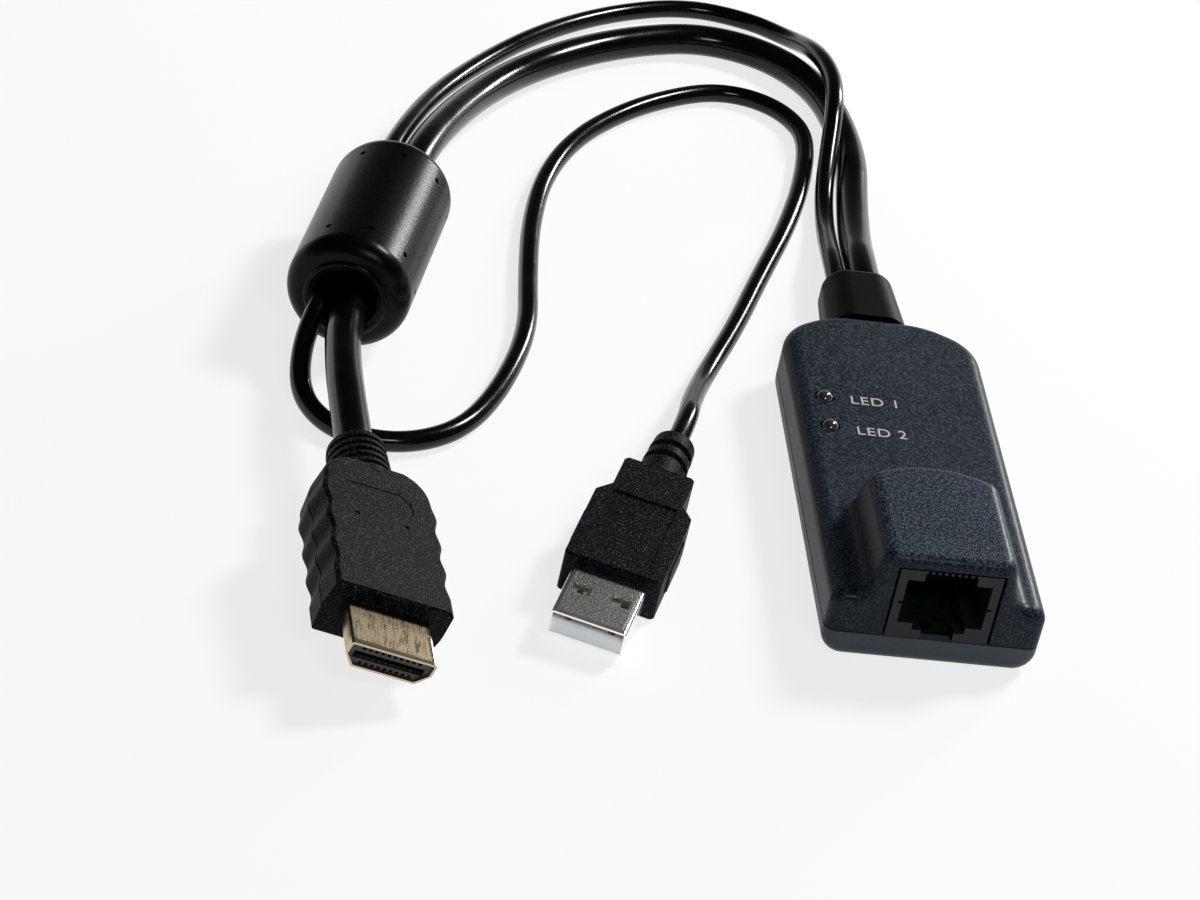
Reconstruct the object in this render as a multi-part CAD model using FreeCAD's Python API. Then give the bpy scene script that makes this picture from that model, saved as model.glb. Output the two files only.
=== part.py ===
import FreeCAD, Part

import math
import os

# KVM dongle: a moulded case with a modular network jack at one end and two moulded leads at the
# other. Millimetres, +Z up. The origin lies under the middle of the case and its cable boot, on
# the surface they rest on. The jack faces -Y and the leads leave towards +Y.

V = FreeCAD.Vector
X_AXIS = V(1, 0, 0)
Y_AXIS = V(0, 1, 0)
Z_AXIS = V(0, 0, 1)
ORIGIN = V(0, 0, 0)

# Case
case_half_width = 17.0
case_front = -48.0
case_shoulder = 26.4
case_rear = 32.0
case_rear_half = 8.5
shoulder_radius = 9.0
rear_radius = 14.0
parting_gap = 0.3
parting_gap_depth = 0.35
parting_height = 4.8
plate_height = 12.0
wall = 1.6
top_roll = 2.6
front_roll = 2.0
bottom_roll = 3.6
inner_roll = 2.0

# Stock that runs out past the case's front before the front is cut flat
front_spare = 4.0

# Hood over the jack
hood_height = 20.2
hood_top_margin = 2.15
hood_side_slope = 2.0
hood_crest = -22.9
hood_crest_rise = 3.6
hood_foot_crest = -20.6
hood_corner = 2.4
hood_roll = 2.2
foot_roll = 2.6

# Jack
jack_x = 0.4
jack_width = 16.1
hood_top_half = jack_width / 2 + hood_top_margin
hood_foot_half = hood_top_half + hood_side_slope
jack_height = 12.9
jack_depth = 18.0
jack_setback = 0.1
jack_gap = 0.45
jack_top_gap = 0.35
jack_bore_width = 13.3
jack_bore_depth = 14.0
jack_bore_floor = 2.9
jack_bracket = 1.9
jack_comb_half = 4.1
jack_comb_skin = 0.45
jack_comb_depth = 4.0
jack_pitch = 1.02
jack_slot = 0.56
jack_ways = 8
jack_latch_half = 2.55
jack_step_half = 4.15
jack_step_height = 1.7
jack_ledge_depth = 2.6
jack_slit_depth = 0.7
jack_slit_height = 0.45
wire_diameter = 0.4
wire_drop = 4.4

# Board and what stands on it
board_thickness = 1.6
board_gap = 0.3
board_rear = 23.0
main_chip_at = V(2.0, 0.8, 0)
main_chip_side = 12.0
main_chip_height = 1.5
network_chip_at = V(5.0, -11.0, 0)
network_chip_side = 7.0
network_chip_height = 1.2
lead_width = 0.35
lead_pitch = 1.0
lead_reach = 0.9
transformer_at = V(-4.0, -21.5, 0)
transformer_size = V(9.5, 12.7, 4.6)
transformer_legs = 8
crystal_at = V(11.0, -20.0, 0)
crystal_length = 11.0
crystal_width = 4.7
crystal_height = 3.4
capacitor_places = [(-8.5, -9.5), (12.5, 2.0)]
capacitor_diameter = 4.0
capacitor_height = 5.2
header_width = 12.0
header_depth = 3.0
header_height = 3.2
header_rear = 21.5
wire_ways = 6
inner_wire_diameter = 1.1
inner_wire_pitch = 1.7

# Lamps
lamp_x = -12.2
power_lamp_y = 5.5
active_lamp_y = -2.8
lamp_diameter = 3.0
lamp_hole = 3.4
lamp_stand_out = 0.95
lamp_flange = 3.8
lamp_flange_height = 0.9
lamp_body_length = 3.6
lamp_leg = 0.5
lamp_leg_pitch = 1.27

# Case screws
screw_places = [(-12.6, -38.0), (12.6, 15.0)]
screw_head_diameter = 4.4
screw_head_height = 1.6
screw_head_recess = 0.5
screw_shank = 2.2
screw_length = 8.0
screw_play = 0.1
screw_boss = 4.6
screw_seat = 6.6
screw_clear = 2.7

# Cable boot
boot_end = 48.0
boot_x = -0.8
boot_width = 14.4
boot_height = 11.4
boot_end_width = 12.5
boot_end_height = 10.6
boot_corner = 4.6
boot_end_corner = 4.2
boot_end_roll = 2.0
boot_z = 6.3
boot_neck_width = 10.6
boot_neck_height = 7.2
boot_neck_gap = 0.1
boot_flange_width = 13.0
boot_flange_height = 7.8
boot_flange_depth = 1.2
boot_flange_gap = 0.5

# Cables
video_diameter = 6.0
data_diameter = 3.5
tangent_share = 0.45
video_exit = V(1.4, boot_end, boot_z)
data_exit = V(-3.55, boot_end, boot_z)

# Ferrite bead
ferrite_front = V(-91.0, 21.6, 10.5)
ferrite_direction = V(0.2314, 0.9729, 0)
ferrite_radius = 10.5
ferrite_play = 0.7
ferrite_length = 38.4
ferrite_roll = 3.4
ferrite_bore = (video_diameter + data_diameter) / 2 + ferrite_play
ferrite_collar = 6.1
ferrite_collar_height = 0.8
ferrite_dish = 0.5
core_outer = 9.2
core_inner = 6.4
core_length = 32.0
pin_radius = 0.55
pin_depth = 0.8
pin_inset = 6.4
pin_count = 9
pin_first = 1.5

# Video plug: its own frame has the shell's front centre at 0, the rear along +Y
video_plug_at = V(-84.5, -69.3, 7.15)
video_plug_turn = (6.0, 3.96, 18.6)
video_shell_width = 13.9
video_shell_height = 4.45
video_shell_straight = 2.3
video_shell_foot = 10.4
video_shell_wall = 0.35
video_shell_out = 9.2
video_shell_hold = 4.0
video_body_rear = 39.5
video_body_half = 9.5
video_body_top = 5.0
video_body_bottom = -5.3
video_body_bevel = 0.55
video_wave_depth = 0.28
video_rim_wave_depth = 0.22
video_wave_count = 3.5
video_wave_start = 12.8
video_wave_end = 34.0
video_seam_depth = 0.22
video_seam_half = 0.14
video_nose_roll = 0.45
video_line = [(-5.7, 33.3), (3.2, 33.6), (4.9, 32.4), (5.3, 30.6), (4.9, 29.4)]
video_line_width = 0.3
video_line_depth = 0.25
video_pits = [(-4.6, 26.3), (3.8, 26.3)]
video_pit_radius = 0.45
video_rear_half = 4.6
video_relief_radius = 5.1
video_relief_end_radius = 4.6
video_relief_end = 48.4
video_relief_rings = 5
video_relief_sleeve = 0.0
video_insert_setback = 0.4
video_insert_depth = 9.0
video_slot_half = 5.7
video_slot_top = 0.55
video_slot_bottom = -0.75
video_slot_depth = 7.5
video_pitch = 1.0
video_cell = 0.55
video_cell_depth = 1.2
video_cell_upper = 1.3
video_cell_lower = -1.45
video_upper_ways = 10
video_lower_ways = 9
contact_thickness = 0.15
contact_width = 0.45

# Data plug: its own frame has the shell's front centre at 0, the rear along +Y
data_plug_at = V(-53.9, -52.6, 3.4)
data_plug_turn = (-19.7, 4.27, 1.93)
data_shell_width = 12.0
data_shell_height = 4.5
data_shell_wall = 0.35
data_shell_out = 11.7
data_shell_hold = 4.0
data_shell_corner = 0.5
data_window_inner = 1.7
data_window_outer = 4.6
data_window_front = 5.5
data_window_rear = 7.6
data_tongue_thickness = 1.84
data_tongue_setback = 0.5
data_tongue_length = 11.0
data_contact_rows = [(-3.5, 7.4), (-1.0, 6.4), (1.0, 6.4), (3.5, 7.4)]
data_contact_width = 1.0
data_contact_setback = 1.4
data_body_half = 7.9
data_body_height = 8.0
data_body_roll = 0.8
data_body_shoulder = 28.8
data_neck_half = 5.8
data_neck_start = 31.4
data_neck_end = 38.5
data_panel_half = 5.3
data_panel_front = 12.6
data_panel_rear = 29.6
data_panel_depth = 0.35
data_pad_front = 17.0
data_pad_rear = 25.0
data_pad_half = 2.3
data_pad_proud = 0.35
data_relief_radius = 3.95
data_relief_end_radius = 3.45
data_relief_end = 49.5
data_relief_rings = 2
data_relief_sleeve = 3.4


def polygon(points):
    """A closed straight-sided wire through the points."""
    return Part.makePolygon(points + points[:1])


def tangent_arc(before, corner, after, reach):
    """The start, arc and end that round a corner, tangent to both runs at a set reach from it."""
    arrive = (corner - before).normalize()
    leave = (after - corner).normalize()
    half_turn = arrive.getAngle(leave) / 2
    radius = reach / math.tan(half_turn)
    inward = (leave - arrive).normalize()
    start = corner - arrive * reach
    end = corner + leave * reach
    middle = corner + inward * (radius / math.cos(half_turn) - radius)
    return start, Part.Arc(start, middle, end).toShape(), end, radius


def rounded_polygon(points, radii):
    """A closed wire through the points, each corner rounded to its own radius (0 keeps it sharp)."""
    count = len(points)
    edges = []
    joints = []
    for i, (corner, radius) in enumerate(zip(points, radii)):
        before = points[i - 1]
        after = points[(i + 1) % count]
        if radius == 0:
            joints.append((corner, None, corner))
            continue
        turn = (corner - before).getAngle(after - corner)
        start, arc, end, _ = tangent_arc(before, corner, after, radius * math.tan(turn / 2))
        joints.append((start, arc, end))
    for i, (start, arc, end) in enumerate(joints):
        if arc is not None:
            edges.append(arc)
        edges.append(Part.LineSegment(end, joints[(i + 1) % count][0]).toShape())
    return Part.Wire(edges)


def prism(wire, direction):
    """The solid that a closed flat wire sweeps along a direction."""
    return Part.Face(wire).extrude(direction)


def block(x0, x1, y0, y1, z0, z1):
    """A box between two corners."""
    return Part.makeBox(x1 - x0, y1 - y0, z1 - z0, V(x0, y0, z0))


def post(diameter, x, y, z0, z1):
    """An upright cylinder between two heights."""
    return Part.makeCylinder(diameter / 2, z1 - z0, V(x, y, z0), Z_AXIS)


def round_edges(shape, radius, wanted):
    """The shape with every edge that the test picks rounded to one radius."""
    return shape.makeFillet(radius, [edge for edge in shape.Edges if wanted(edge)])


def middle_of(edge):
    """The point half way along an edge."""
    return edge.valueAt((edge.FirstParameter + edge.LastParameter) / 2)


def case_outline(z, front=case_front, nose=0):
    """The case's outline at a height: straight sides, front corners, shouldered rear."""
    points = [
        V(-case_half_width, front, z),
        V(case_half_width, front, z),
        V(case_half_width, case_shoulder, z),
        V(case_rear_half, case_rear, z),
        V(-case_rear_half, case_rear, z),
        V(-case_half_width, case_shoulder, z),
    ]
    radii = [nose, nose, shoulder_radius, rear_radius, rear_radius, shoulder_radius]
    return rounded_polygon(points, radii)


def hood_outline(half, crest, z):
    """The hood's outline at a height: straight sides run out past the front, bowed rear crest."""
    side_end = crest - hood_crest_rise
    front = case_front - front_spare
    corners = [V(-half, front, z), V(half, front, z), V(half, side_end, z), V(-half, side_end, z)]
    edges = [
        Part.LineSegment(corners[0], corners[1]).toShape(),
        Part.LineSegment(corners[1], corners[2]).toShape(),
        Part.Arc(corners[2], V(0, crest, z), corners[3]).toShape(),
        Part.LineSegment(corners[3], corners[0]).toShape(),
    ]
    return Part.Wire(edges)


def on_front(edge):
    """Whether an edge lies in the case's front plane."""
    box = edge.BoundBox
    return abs(box.YMin - case_front) < 0.01 and abs(box.YMax - case_front) < 0.01


def top_skin():
    """The top cover's closed outer form: plate, hood, rolled edges and the fillet at the hood's foot."""
    plate = prism(
        case_outline(parting_height, case_front - front_spare), V(0, 0, plate_height - parting_height)
    )
    hood = Part.makeLoft(
        [
            hood_outline(hood_foot_half, hood_foot_crest, plate_height - wall),
            hood_outline(hood_top_half, hood_crest, hood_height),
        ],
        True,
        True,
    )

    def hood_rear_corner(edge):
        return edge.BoundBox.ZLength > 5 and middle_of(edge).y > case_front + 1

    hood = round_edges(hood, hood_corner, hood_rear_corner)
    reach = 2 * case_half_width
    ahead = block(-reach, reach, case_front - 2 * front_spare, case_front, 0, 2 * hood_height)
    skin = plate.fuse(hood).cut(ahead).removeSplitter()

    def hood_foot(edge):
        box = edge.BoundBox
        flat = abs(box.ZMin - plate_height) < 0.01 and abs(box.ZMax - plate_height) < 0.01
        middle = middle_of(edge)
        inside = abs(middle.x) < case_half_width - wall and middle.y < 0
        return flat and inside and not on_front(edge)

    def hood_rim(edge):
        return edge.BoundBox.ZMin > hood_height - 0.01 and not on_front(edge)

    def plate_rim(edge):
        box = edge.BoundBox
        flat = abs(box.ZMin - plate_height) < 0.01 and abs(box.ZMax - plate_height) < 0.01
        middle = middle_of(edge)
        outer = abs(middle.x) > case_half_width - wall or middle.y > case_shoulder - shoulder_radius
        return flat and outer and not on_front(edge)

    def front_rim(edge):
        return on_front(edge) and edge.BoundBox.ZMax > parting_height + 0.01

    skin = round_edges(skin, foot_roll, hood_foot)
    skin = round_edges(skin, hood_roll, hood_rim)
    skin = round_edges(skin, top_roll, plate_rim)
    return round_edges(skin, front_roll, front_rim)


def jack_opening():
    """The cut-out in the case's front that the jack looks through."""
    half = jack_width / 2 + jack_gap
    top = parting_height + jack_height + jack_top_gap
    return block(jack_x - half, jack_x + half, case_front - 1, case_front + wall + 1, parting_height - 1, top)


def boot_opening():
    """The hole in the case's rear wall that the boot's neck passes through."""
    half = boot_neck_width / 2 + boot_neck_gap
    rise = boot_neck_height / 2 + boot_neck_gap
    left = boot_x - half
    return block(left, left + 2 * half, case_rear - 2 * wall, case_rear + 1, boot_z - rise, boot_z + rise)


def screw_seat_height():
    """The height at which the two covers' screw posts meet, which is the board's underside."""
    return parting_height - board_thickness


def parting_groove():
    """The ring of stock that leaves a shadow line where the two covers meet."""
    rim = case_outline(parting_height, case_front, front_roll)
    full = prism(rim, V(0, 0, parting_gap))
    return full.cut(prism(rim.makeOffset2D(-parting_gap_depth), V(0, 0, parting_gap)))


def top_cover():
    """The upper shell, hollowed under its plate and hood."""
    inner_plan = case_outline(parting_height).makeOffset2D(-wall)
    room = prism(inner_plan, V(0, 0, plate_height - wall - parting_height))
    hood_room = Part.makeLoft(
        [
            hood_outline(hood_foot_half - wall, hood_foot_crest - wall, parting_height),
            hood_outline(hood_top_half - wall, hood_crest - wall, hood_height - wall),
        ],
        True,
        True,
    )
    behind_front = block(-case_half_width, case_half_width, case_front + wall, 0, 0, hood_height)
    cover = top_skin().cut(room).cut(hood_room.common(behind_front))
    cover = cover.cut(jack_opening()).cut(boot_opening()).cut(parting_groove())
    for y in (power_lamp_y, active_lamp_y):
        cover = cover.cut(post(lamp_hole, lamp_x, y, parting_height, plate_height + 1))
    for x, y in screw_places:
        cover = cover.fuse(post(screw_boss, x, y, screw_seat_height(), plate_height - wall / 2))
    for x, y in screw_places:
        hole_top = screw_head_recess + screw_head_height + screw_length
        cover = cover.cut(post(screw_shank + screw_play, x, y, screw_seat_height(), hole_top))
    return cover.removeSplitter()


def bottom_cover():
    """The lower pan, with ribs under the board and counterbored screw posts."""
    pan = prism(case_outline(0), V(0, 0, parting_height))

    def floor_rim(edge):
        return edge.BoundBox.ZMax < 0.01 and not on_front(edge)

    def front_rim(edge):
        return on_front(edge) and edge.BoundBox.ZMin < parting_height - 0.01

    pan = round_edges(pan, bottom_roll, floor_rim)
    pan = round_edges(pan, front_roll, front_rim)
    room = prism(case_outline(wall).makeOffset2D(-wall), V(0, 0, parting_height))
    room = round_edges(room, inner_roll, lambda edge: edge.BoundBox.ZMax < wall + 0.01)
    pan = pan.cut(room).cut(boot_opening())
    rib_half = case_half_width - wall - inner_roll
    for y in (case_front + 12, -10.0, board_rear - 4):
        pan = pan.fuse(block(-rib_half, rib_half, y, y + 1.2, wall / 2, screw_seat_height()))
    for x, y in screw_places:
        pan = pan.fuse(post(screw_seat, x, y, wall / 2, screw_seat_height()))
    for x, y in screw_places:
        recess = screw_head_recess + screw_head_height
        pan = pan.cut(post(screw_head_diameter + 0.4, x, y, -1, recess))
        pan = pan.cut(post(screw_clear, x, y, 0, parting_height))
    return pan.removeSplitter()


def case_screws():
    """The pan-head screws that hold the two covers together from below."""
    screws = []
    for x, y in screw_places:
        seat = screw_head_recess + screw_head_height
        head = post(screw_head_diameter, x, y, screw_head_recess, seat)
        head = round_edges(head, 0.5, lambda edge: edge.BoundBox.ZMax < screw_head_recess + 0.01)
        slot = block(x - 1.3, x + 1.3, y - 0.3, y + 0.3, 0, screw_head_recess + 0.8)
        cross = block(x - 0.3, x + 0.3, y - 1.3, y + 1.3, 0, screw_head_recess + 0.8)
        shank = post(screw_shank, x, y, seat, seat + screw_length - 0.3)
        screws.append(head.fuse(shank).cut(slot).cut(cross).removeSplitter())
    return Part.makeCompound(screws)


def circuit_board():
    """The board, cut to the case's inside and notched for the screw posts."""
    plan = case_outline(screw_seat_height()).makeOffset2D(-(wall + board_gap))
    board = prism(plan, V(0, 0, board_thickness))
    board = board.cut(block(-50, 50, board_rear, 100, 0, parting_height + 1))
    notch = screw_boss / 2 + 0.2
    for x, y in screw_places:
        edge = math.copysign(case_half_width, x)
        board = board.cut(post(2 * notch, x, y, 0, parting_height + 1))
        board = board.cut(
            block(min(x, edge), max(x, edge), y - notch, y + notch, 0, parting_height + 1)
        )
    return board


def jack_housing():
    """The moulded jack: bore, comb over the contacts, side slits, ledges and stepped latch way."""
    front = case_front + jack_setback
    base = parting_height
    top = base + jack_height
    left = jack_x - jack_width / 2
    housing = block(left, left + jack_width, front, front + jack_depth, base, top)
    bore_half = jack_bore_width / 2
    bore_top = top - jack_bracket
    cuts = [
        block(-bore_half, bore_half, 0, jack_bore_depth, base + jack_bore_floor, bore_top),
        block(-jack_comb_half, jack_comb_half, 0, jack_bore_depth, base + 4, top - jack_comb_skin),
        block(-jack_latch_half, jack_latch_half, 0, jack_bore_depth, base, base + 4),
        block(
            -jack_step_half,
            jack_step_half,
            0,
            jack_ledge_depth,
            base + jack_step_height,
            base + 4,
        ),
        block(-jack_step_half, jack_step_half, jack_ledge_depth, jack_bore_depth, base, base + 4),
    ]
    slit_z = base + jack_height / 2
    slit_half = bore_half + jack_slit_depth
    cuts.append(block(-slit_half, slit_half, 0, 3.0, slit_z, slit_z + jack_slit_height))
    for way in range(jack_ways):
        x = (way - (jack_ways - 1) / 2) * jack_pitch
        half = jack_slot / 2
        cuts.append(block(x - half, x + half, 0, jack_comb_depth, top - 1, top))
    for cut in cuts:
        cut.translate(V(jack_x, front - 0.001, 0))
        housing = housing.cut(cut)
    return housing.removeSplitter()


def jack_contacts():
    """Eight sprung wires: each hangs from the comb and slopes down towards the back of the bore."""
    front = case_front + jack_setback
    top = parting_height + jack_height
    wires = []
    for way in range(jack_ways):
        x = jack_x + (way - (jack_ways - 1) / 2) * jack_pitch
        radius = wire_diameter / 2
        ceiling = V(x, front + jack_comb_depth + 1, top - jack_comb_skin - radius)
        knee = V(x, front + 2.2, top - jack_comb_skin - 1.2)
        tip = V(x, front + jack_bore_depth - 3, top - wire_drop)
        run = Part.makePolygon([ceiling, knee, tip])
        circle = Part.Wire(Part.makeCircle(radius, ceiling, knee - ceiling))
        wires.append(run.makePipeShell([circle], True, False, 1))
    return Part.makeCompound(wires)


def leaded_chip(at, side, height, base):
    """A flat square chip with gull-wing leads along its four sides."""
    half = side / 2
    stand = 0.1
    body = block(at.x - half, at.x + half, at.y - half, at.y + half, base + stand, base + height)
    per_side = int((side - 1.5) / lead_pitch)
    leads = []
    for turn in range(4):
        for i in range(per_side):
            offset = (i - (per_side - 1) / 2) * lead_pitch
            left = offset - lead_width / 2
            lead = block(left, left + lead_width, half - 0.3, half + lead_reach, 0, 0.3)
            lead.rotate(ORIGIN, Z_AXIS, 90 * turn)
            lead.translate(V(at.x, at.y, base))
            leads.append(lead)
    return body.multiFuse(leads)


def line_transformer():
    """The isolating transformer behind the jack, a flat block with two rows of legs."""
    size = transformer_size
    at = transformer_at
    base = parting_height
    body = block(
        at.x - size.x / 2, at.x + size.x / 2, at.y - size.y / 2, at.y + size.y / 2, base + 0.4, base + size.z
    )
    legs = []
    for side in (-1, 1):
        for i in range(transformer_legs):
            y = at.y + (i - (transformer_legs - 1) / 2) * 1.5
            x = at.x + side * (size.x / 2 + 0.4)
            legs.append(block(x - 0.7, x + 0.7, y - 0.2, y + 0.2, base, base + 0.6))
    return body.multiFuse(legs)


def crystal():
    """The clock crystal, a round-ended can lying along the board."""
    base = parting_height
    half = crystal_width / 2
    straight = crystal_length / 2 - half
    points = [
        V(crystal_at.x - half, crystal_at.y - straight - half, base),
        V(crystal_at.x + half, crystal_at.y - straight - half, base),
        V(crystal_at.x + half, crystal_at.y + straight + half, base),
        V(crystal_at.x - half, crystal_at.y + straight + half, base),
    ]
    can = prism(rounded_polygon(points, [half - 0.05] * 4), V(0, 0, crystal_height))
    return round_edges(can, 0.5, lambda edge: edge.BoundBox.ZMin > base + crystal_height - 0.01)


def capacitors():
    """Upright electrolytic cans on their square bases."""
    base = parting_height
    cans = []
    for x, y in capacitor_places:
        half = capacitor_diameter / 2
        foot = block(x - half, x + half, y - half, y + half, base, base + 0.8)
        can = post(capacitor_diameter - 0.2, x, y, base + 0.8, base + capacitor_height)
        can = round_edges(can, 0.3, lambda edge: edge.BoundBox.ZMin > base + capacitor_height - 0.01)
        cans.append(foot.fuse(can))
    return Part.makeCompound(cans)


def wire_header():
    """The block that takes the leads' inner wires on the board."""
    half = header_width / 2
    base = parting_height
    return block(-half, half, header_rear - header_depth, header_rear, base, base + header_height)


def boot_flange_front():
    """Where the boot's inner flange ends inside the case."""
    return case_rear - wall - boot_flange_gap - boot_flange_depth


def inner_wires():
    """The insulated wires between the boot and the header."""
    length = boot_flange_front() - header_rear
    height = parting_height + header_height / 2
    wires = []
    for way in range(wire_ways):
        x = (way - (wire_ways - 1) / 2) * inner_wire_pitch
        wires.append(Part.makeCylinder(inner_wire_diameter / 2, length, V(x, header_rear, height), Y_AXIS))
    return Part.makeCompound(wires)


def lamp(y):
    """A clear domed lamp standing on two legs, its dome just proud of the plate."""
    radius = lamp_diameter / 2
    dome_z = plate_height + lamp_stand_out - radius
    foot = dome_z - lamp_body_length
    body = post(lamp_diameter, lamp_x, y, foot, dome_z)
    dome = Part.makeSphere(radius, V(lamp_x, y, dome_z))
    flange = post(lamp_flange, lamp_x, y, foot, foot + lamp_flange_height)
    shape = body.fuse(dome).fuse(flange)
    half = lamp_leg / 2
    for side in (-1, 1):
        leg_y = y + side * lamp_leg_pitch
        shape = shape.fuse(
            block(lamp_x - half, lamp_x + half, leg_y - half, leg_y + half, parting_height, foot + 0.2)
        )
    return shape.removeSplitter()


def oblong(width, height, corner, y):
    """A rounded rectangle facing along Y, centred on the boot."""
    left = boot_x - width / 2
    right = boot_x + width / 2
    low = boot_z - height / 2
    high = boot_z + height / 2
    points = [V(left, y, low), V(right, y, low), V(right, y, high), V(left, y, high)]
    return rounded_polygon(points, [corner] * 4)


def cable_boot():
    """The rubber boot: tapered collar outside, neck through the wall and flange behind it."""
    collar = Part.makeLoft(
        [
            oblong(boot_width, boot_height, boot_corner, case_rear),
            oblong(boot_end_width, boot_end_height, boot_end_corner, boot_end),
        ],
        True,
        True,
    )
    collar = round_edges(collar, boot_end_roll, lambda edge: edge.BoundBox.YMin > boot_end - 0.01)
    neck_half = boot_neck_width / 2
    neck_rise = boot_neck_height / 2
    flange_half = boot_flange_width / 2
    flange_rise = boot_flange_height / 2
    inner = case_rear - wall - boot_flange_gap
    neck = block(
        boot_x - neck_half, boot_x + neck_half, inner, case_rear, boot_z - neck_rise, boot_z + neck_rise
    )
    flange = block(
        boot_x - flange_half,
        boot_x + flange_half,
        boot_flange_front(),
        inner,
        boot_z - flange_rise,
        boot_z + flange_rise,
    )
    return collar.fuse(neck).fuse(flange).removeSplitter()


def along_bead(distance, sideways, rise):
    """A point in the ferrite bead's bore: distance from its front end, offset across it."""
    right = ferrite_direction.cross(Z_AXIS)
    return ferrite_front + ferrite_direction * distance + right * sideways + V(0, 0, rise)


def video_route():
    """The video cable's route, from the boot through the ferrite bead to the video plug."""
    tail, inward = plug_tail(video_plug_at, video_plug_turn, video_relief_end)
    return [
        video_exit,
        V(1.4, 57.0, 6.3),
        V(2.2, 68.0, 4.3),
        V(3.8, 83.0, 3.1),
        V(5.9, 100.0, 3.1),
        V(4.4, 118.0, 3.1),
        V(0.6, 129.5, 3.1),
        V(-7.5, 138.0, 3.1),
        V(-19.5, 141.2, 3.1),
        V(-31.5, 137.4, 3.1),
        V(-43.8, 130.2, 3.1),
        V(-55.2, 119.6, 3.5),
        V(-64.2, 105.8, 5.3),
        V(-71.0, 90.5, 8.0),
        V(-76.4, 75.5, 10.2),
        along_bead(44.0, data_diameter / 2 - 0.45, -0.2),
        along_bead(19.0, data_diameter / 2 - 0.3, -0.3),
        along_bead(-5.5, data_diameter / 2 - 0.75, 0.1),
        V(-91.5, 2.0, 11.1),
        tail + inward * 12.5,
        tail,
    ]


def data_route():
    """The data cable's route: over the video cable, through the bead, back under and round to its plug."""
    tail, inward = plug_tail(data_plug_at, data_plug_turn, data_relief_end)
    return [
        data_exit,
        V(-3.55, 56.5, 6.3),
        V(-2.9, 66.0, 4.4),
        V(-1.9, 76.5, 2.2),
        V(-0.8, 88.0, 2.4),
        V(0.8, 98.0, 5.0),
        V(2.6, 109.5, 9.5),
        V(3.2, 121.0, 9.8),
        V(1.4, 132.0, 8.4),
        V(-1.2, 143.8, 3.8),
        V(-8.6, 153.2, 2.0),
        V(-21.5, 156.0, 1.85),
        V(-37.4, 149.0, 1.85),
        V(-52.0, 136.0, 2.6),
        V(-64.0, 119.4, 3.8),
        V(-73.9, 99.8, 6.8),
        V(-80.6, 79.2, 10.2),
        along_bead(44.5, -video_diameter / 2 - 0.6, 0.3),
        along_bead(28.0, -video_diameter / 2 - 0.52, 0.5),
        along_bead(12.0, -video_diameter / 2 - 0.5, 0.55),
        along_bead(-3.0, -video_diameter / 2 - 0.6, 0.4),
        V(-97.6, 12.6, 6.0),
        V(-97.4, 5.0, 2.3),
        V(-93.4, -2.4, 1.85),
        V(-85.8, -6.1, 1.85),
        V(-77.4, -4.7, 1.85),
        V(-69.8, 1.3, 1.85),
        V(-63.4, 14.4, 1.85),
        V(-58.6, 31.5, 1.85),
        V(-57.9, 48.5, 1.85),
        V(-56.6, 66.0, 1.85),
        V(-53.4, 83.0, 1.85),
        V(-46.6, 98.8, 1.85),
        V(-35.6, 111.8, 1.85),
        V(-24.5, 119.8, 1.85),
        V(-17.0, 122.6, 1.85),
        V(-9.6, 121.2, 1.85),
        V(-4.2, 116.2, 1.85),
        V(-1.6, 108.2, 1.85),
        V(-4.2, 92.0, 1.85),
        V(-9.4, 74.0, 1.85),
        V(-16.2, 56.0, 1.85),
        V(-22.2, 39.0, 1.85),
        V(-29.2, 22.0, 2.4),
        V(-33.0, 9.5, 5.6),
        tail + inward * 8.0,
        tail,
    ]


def cable(name, diameter, points):
    """A tube along straight runs joined by tangent arcs, each as wide as its two runs allow."""
    edges = []
    radii = []
    here = points[0]
    for before, corner, after in zip(points, points[1:], points[2:]):
        shorter = min(before.distanceToPoint(corner), corner.distanceToPoint(after))
        start, arc, end, radius = tangent_arc(before, corner, after, tangent_share * shorter)
        edges.extend([Part.LineSegment(here, start).toShape(), arc])
        radii.append(round(radius, 1))
        here = end
    edges.append(Part.LineSegment(here, points[-1]).toShape())
    path = Part.Wire(edges)
    section = Part.Wire(Part.makeCircle(diameter / 2, points[0], points[1] - points[0]))
    tube = path.makePipeShell([section], True, False)
    filled = tube.Volume / (math.pi * diameter**2 / 4 * path.Length)
    print(name, "radii", radii)
    print(name, "length", round(path.Length, 1), "volume over section x length", round(filled, 5))
    return tube


def bead_solid(profile):
    """A ring turned about the ferrite bead's axis from (radius, distance) points."""
    face = Part.Face(profile)
    ring = face.revolve(ORIGIN, Y_AXIS, 360)
    turn = math.degrees(math.atan2(-ferrite_direction.x, ferrite_direction.y))
    ring.Placement = FreeCAD.Placement(ferrite_front, FreeCAD.Rotation(Z_AXIS, turn))
    return ring


def ferrite_core():
    """The ceramic sleeve inside the bead."""
    start = (ferrite_length - core_length) / 2
    end = start + core_length
    inner = [V(core_inner, end, 0), V(core_inner, start, 0)]
    outer = [V(core_outer, start, 0), V(core_outer, end, 0)]
    return bead_solid(polygon(inner + outer))


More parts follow.
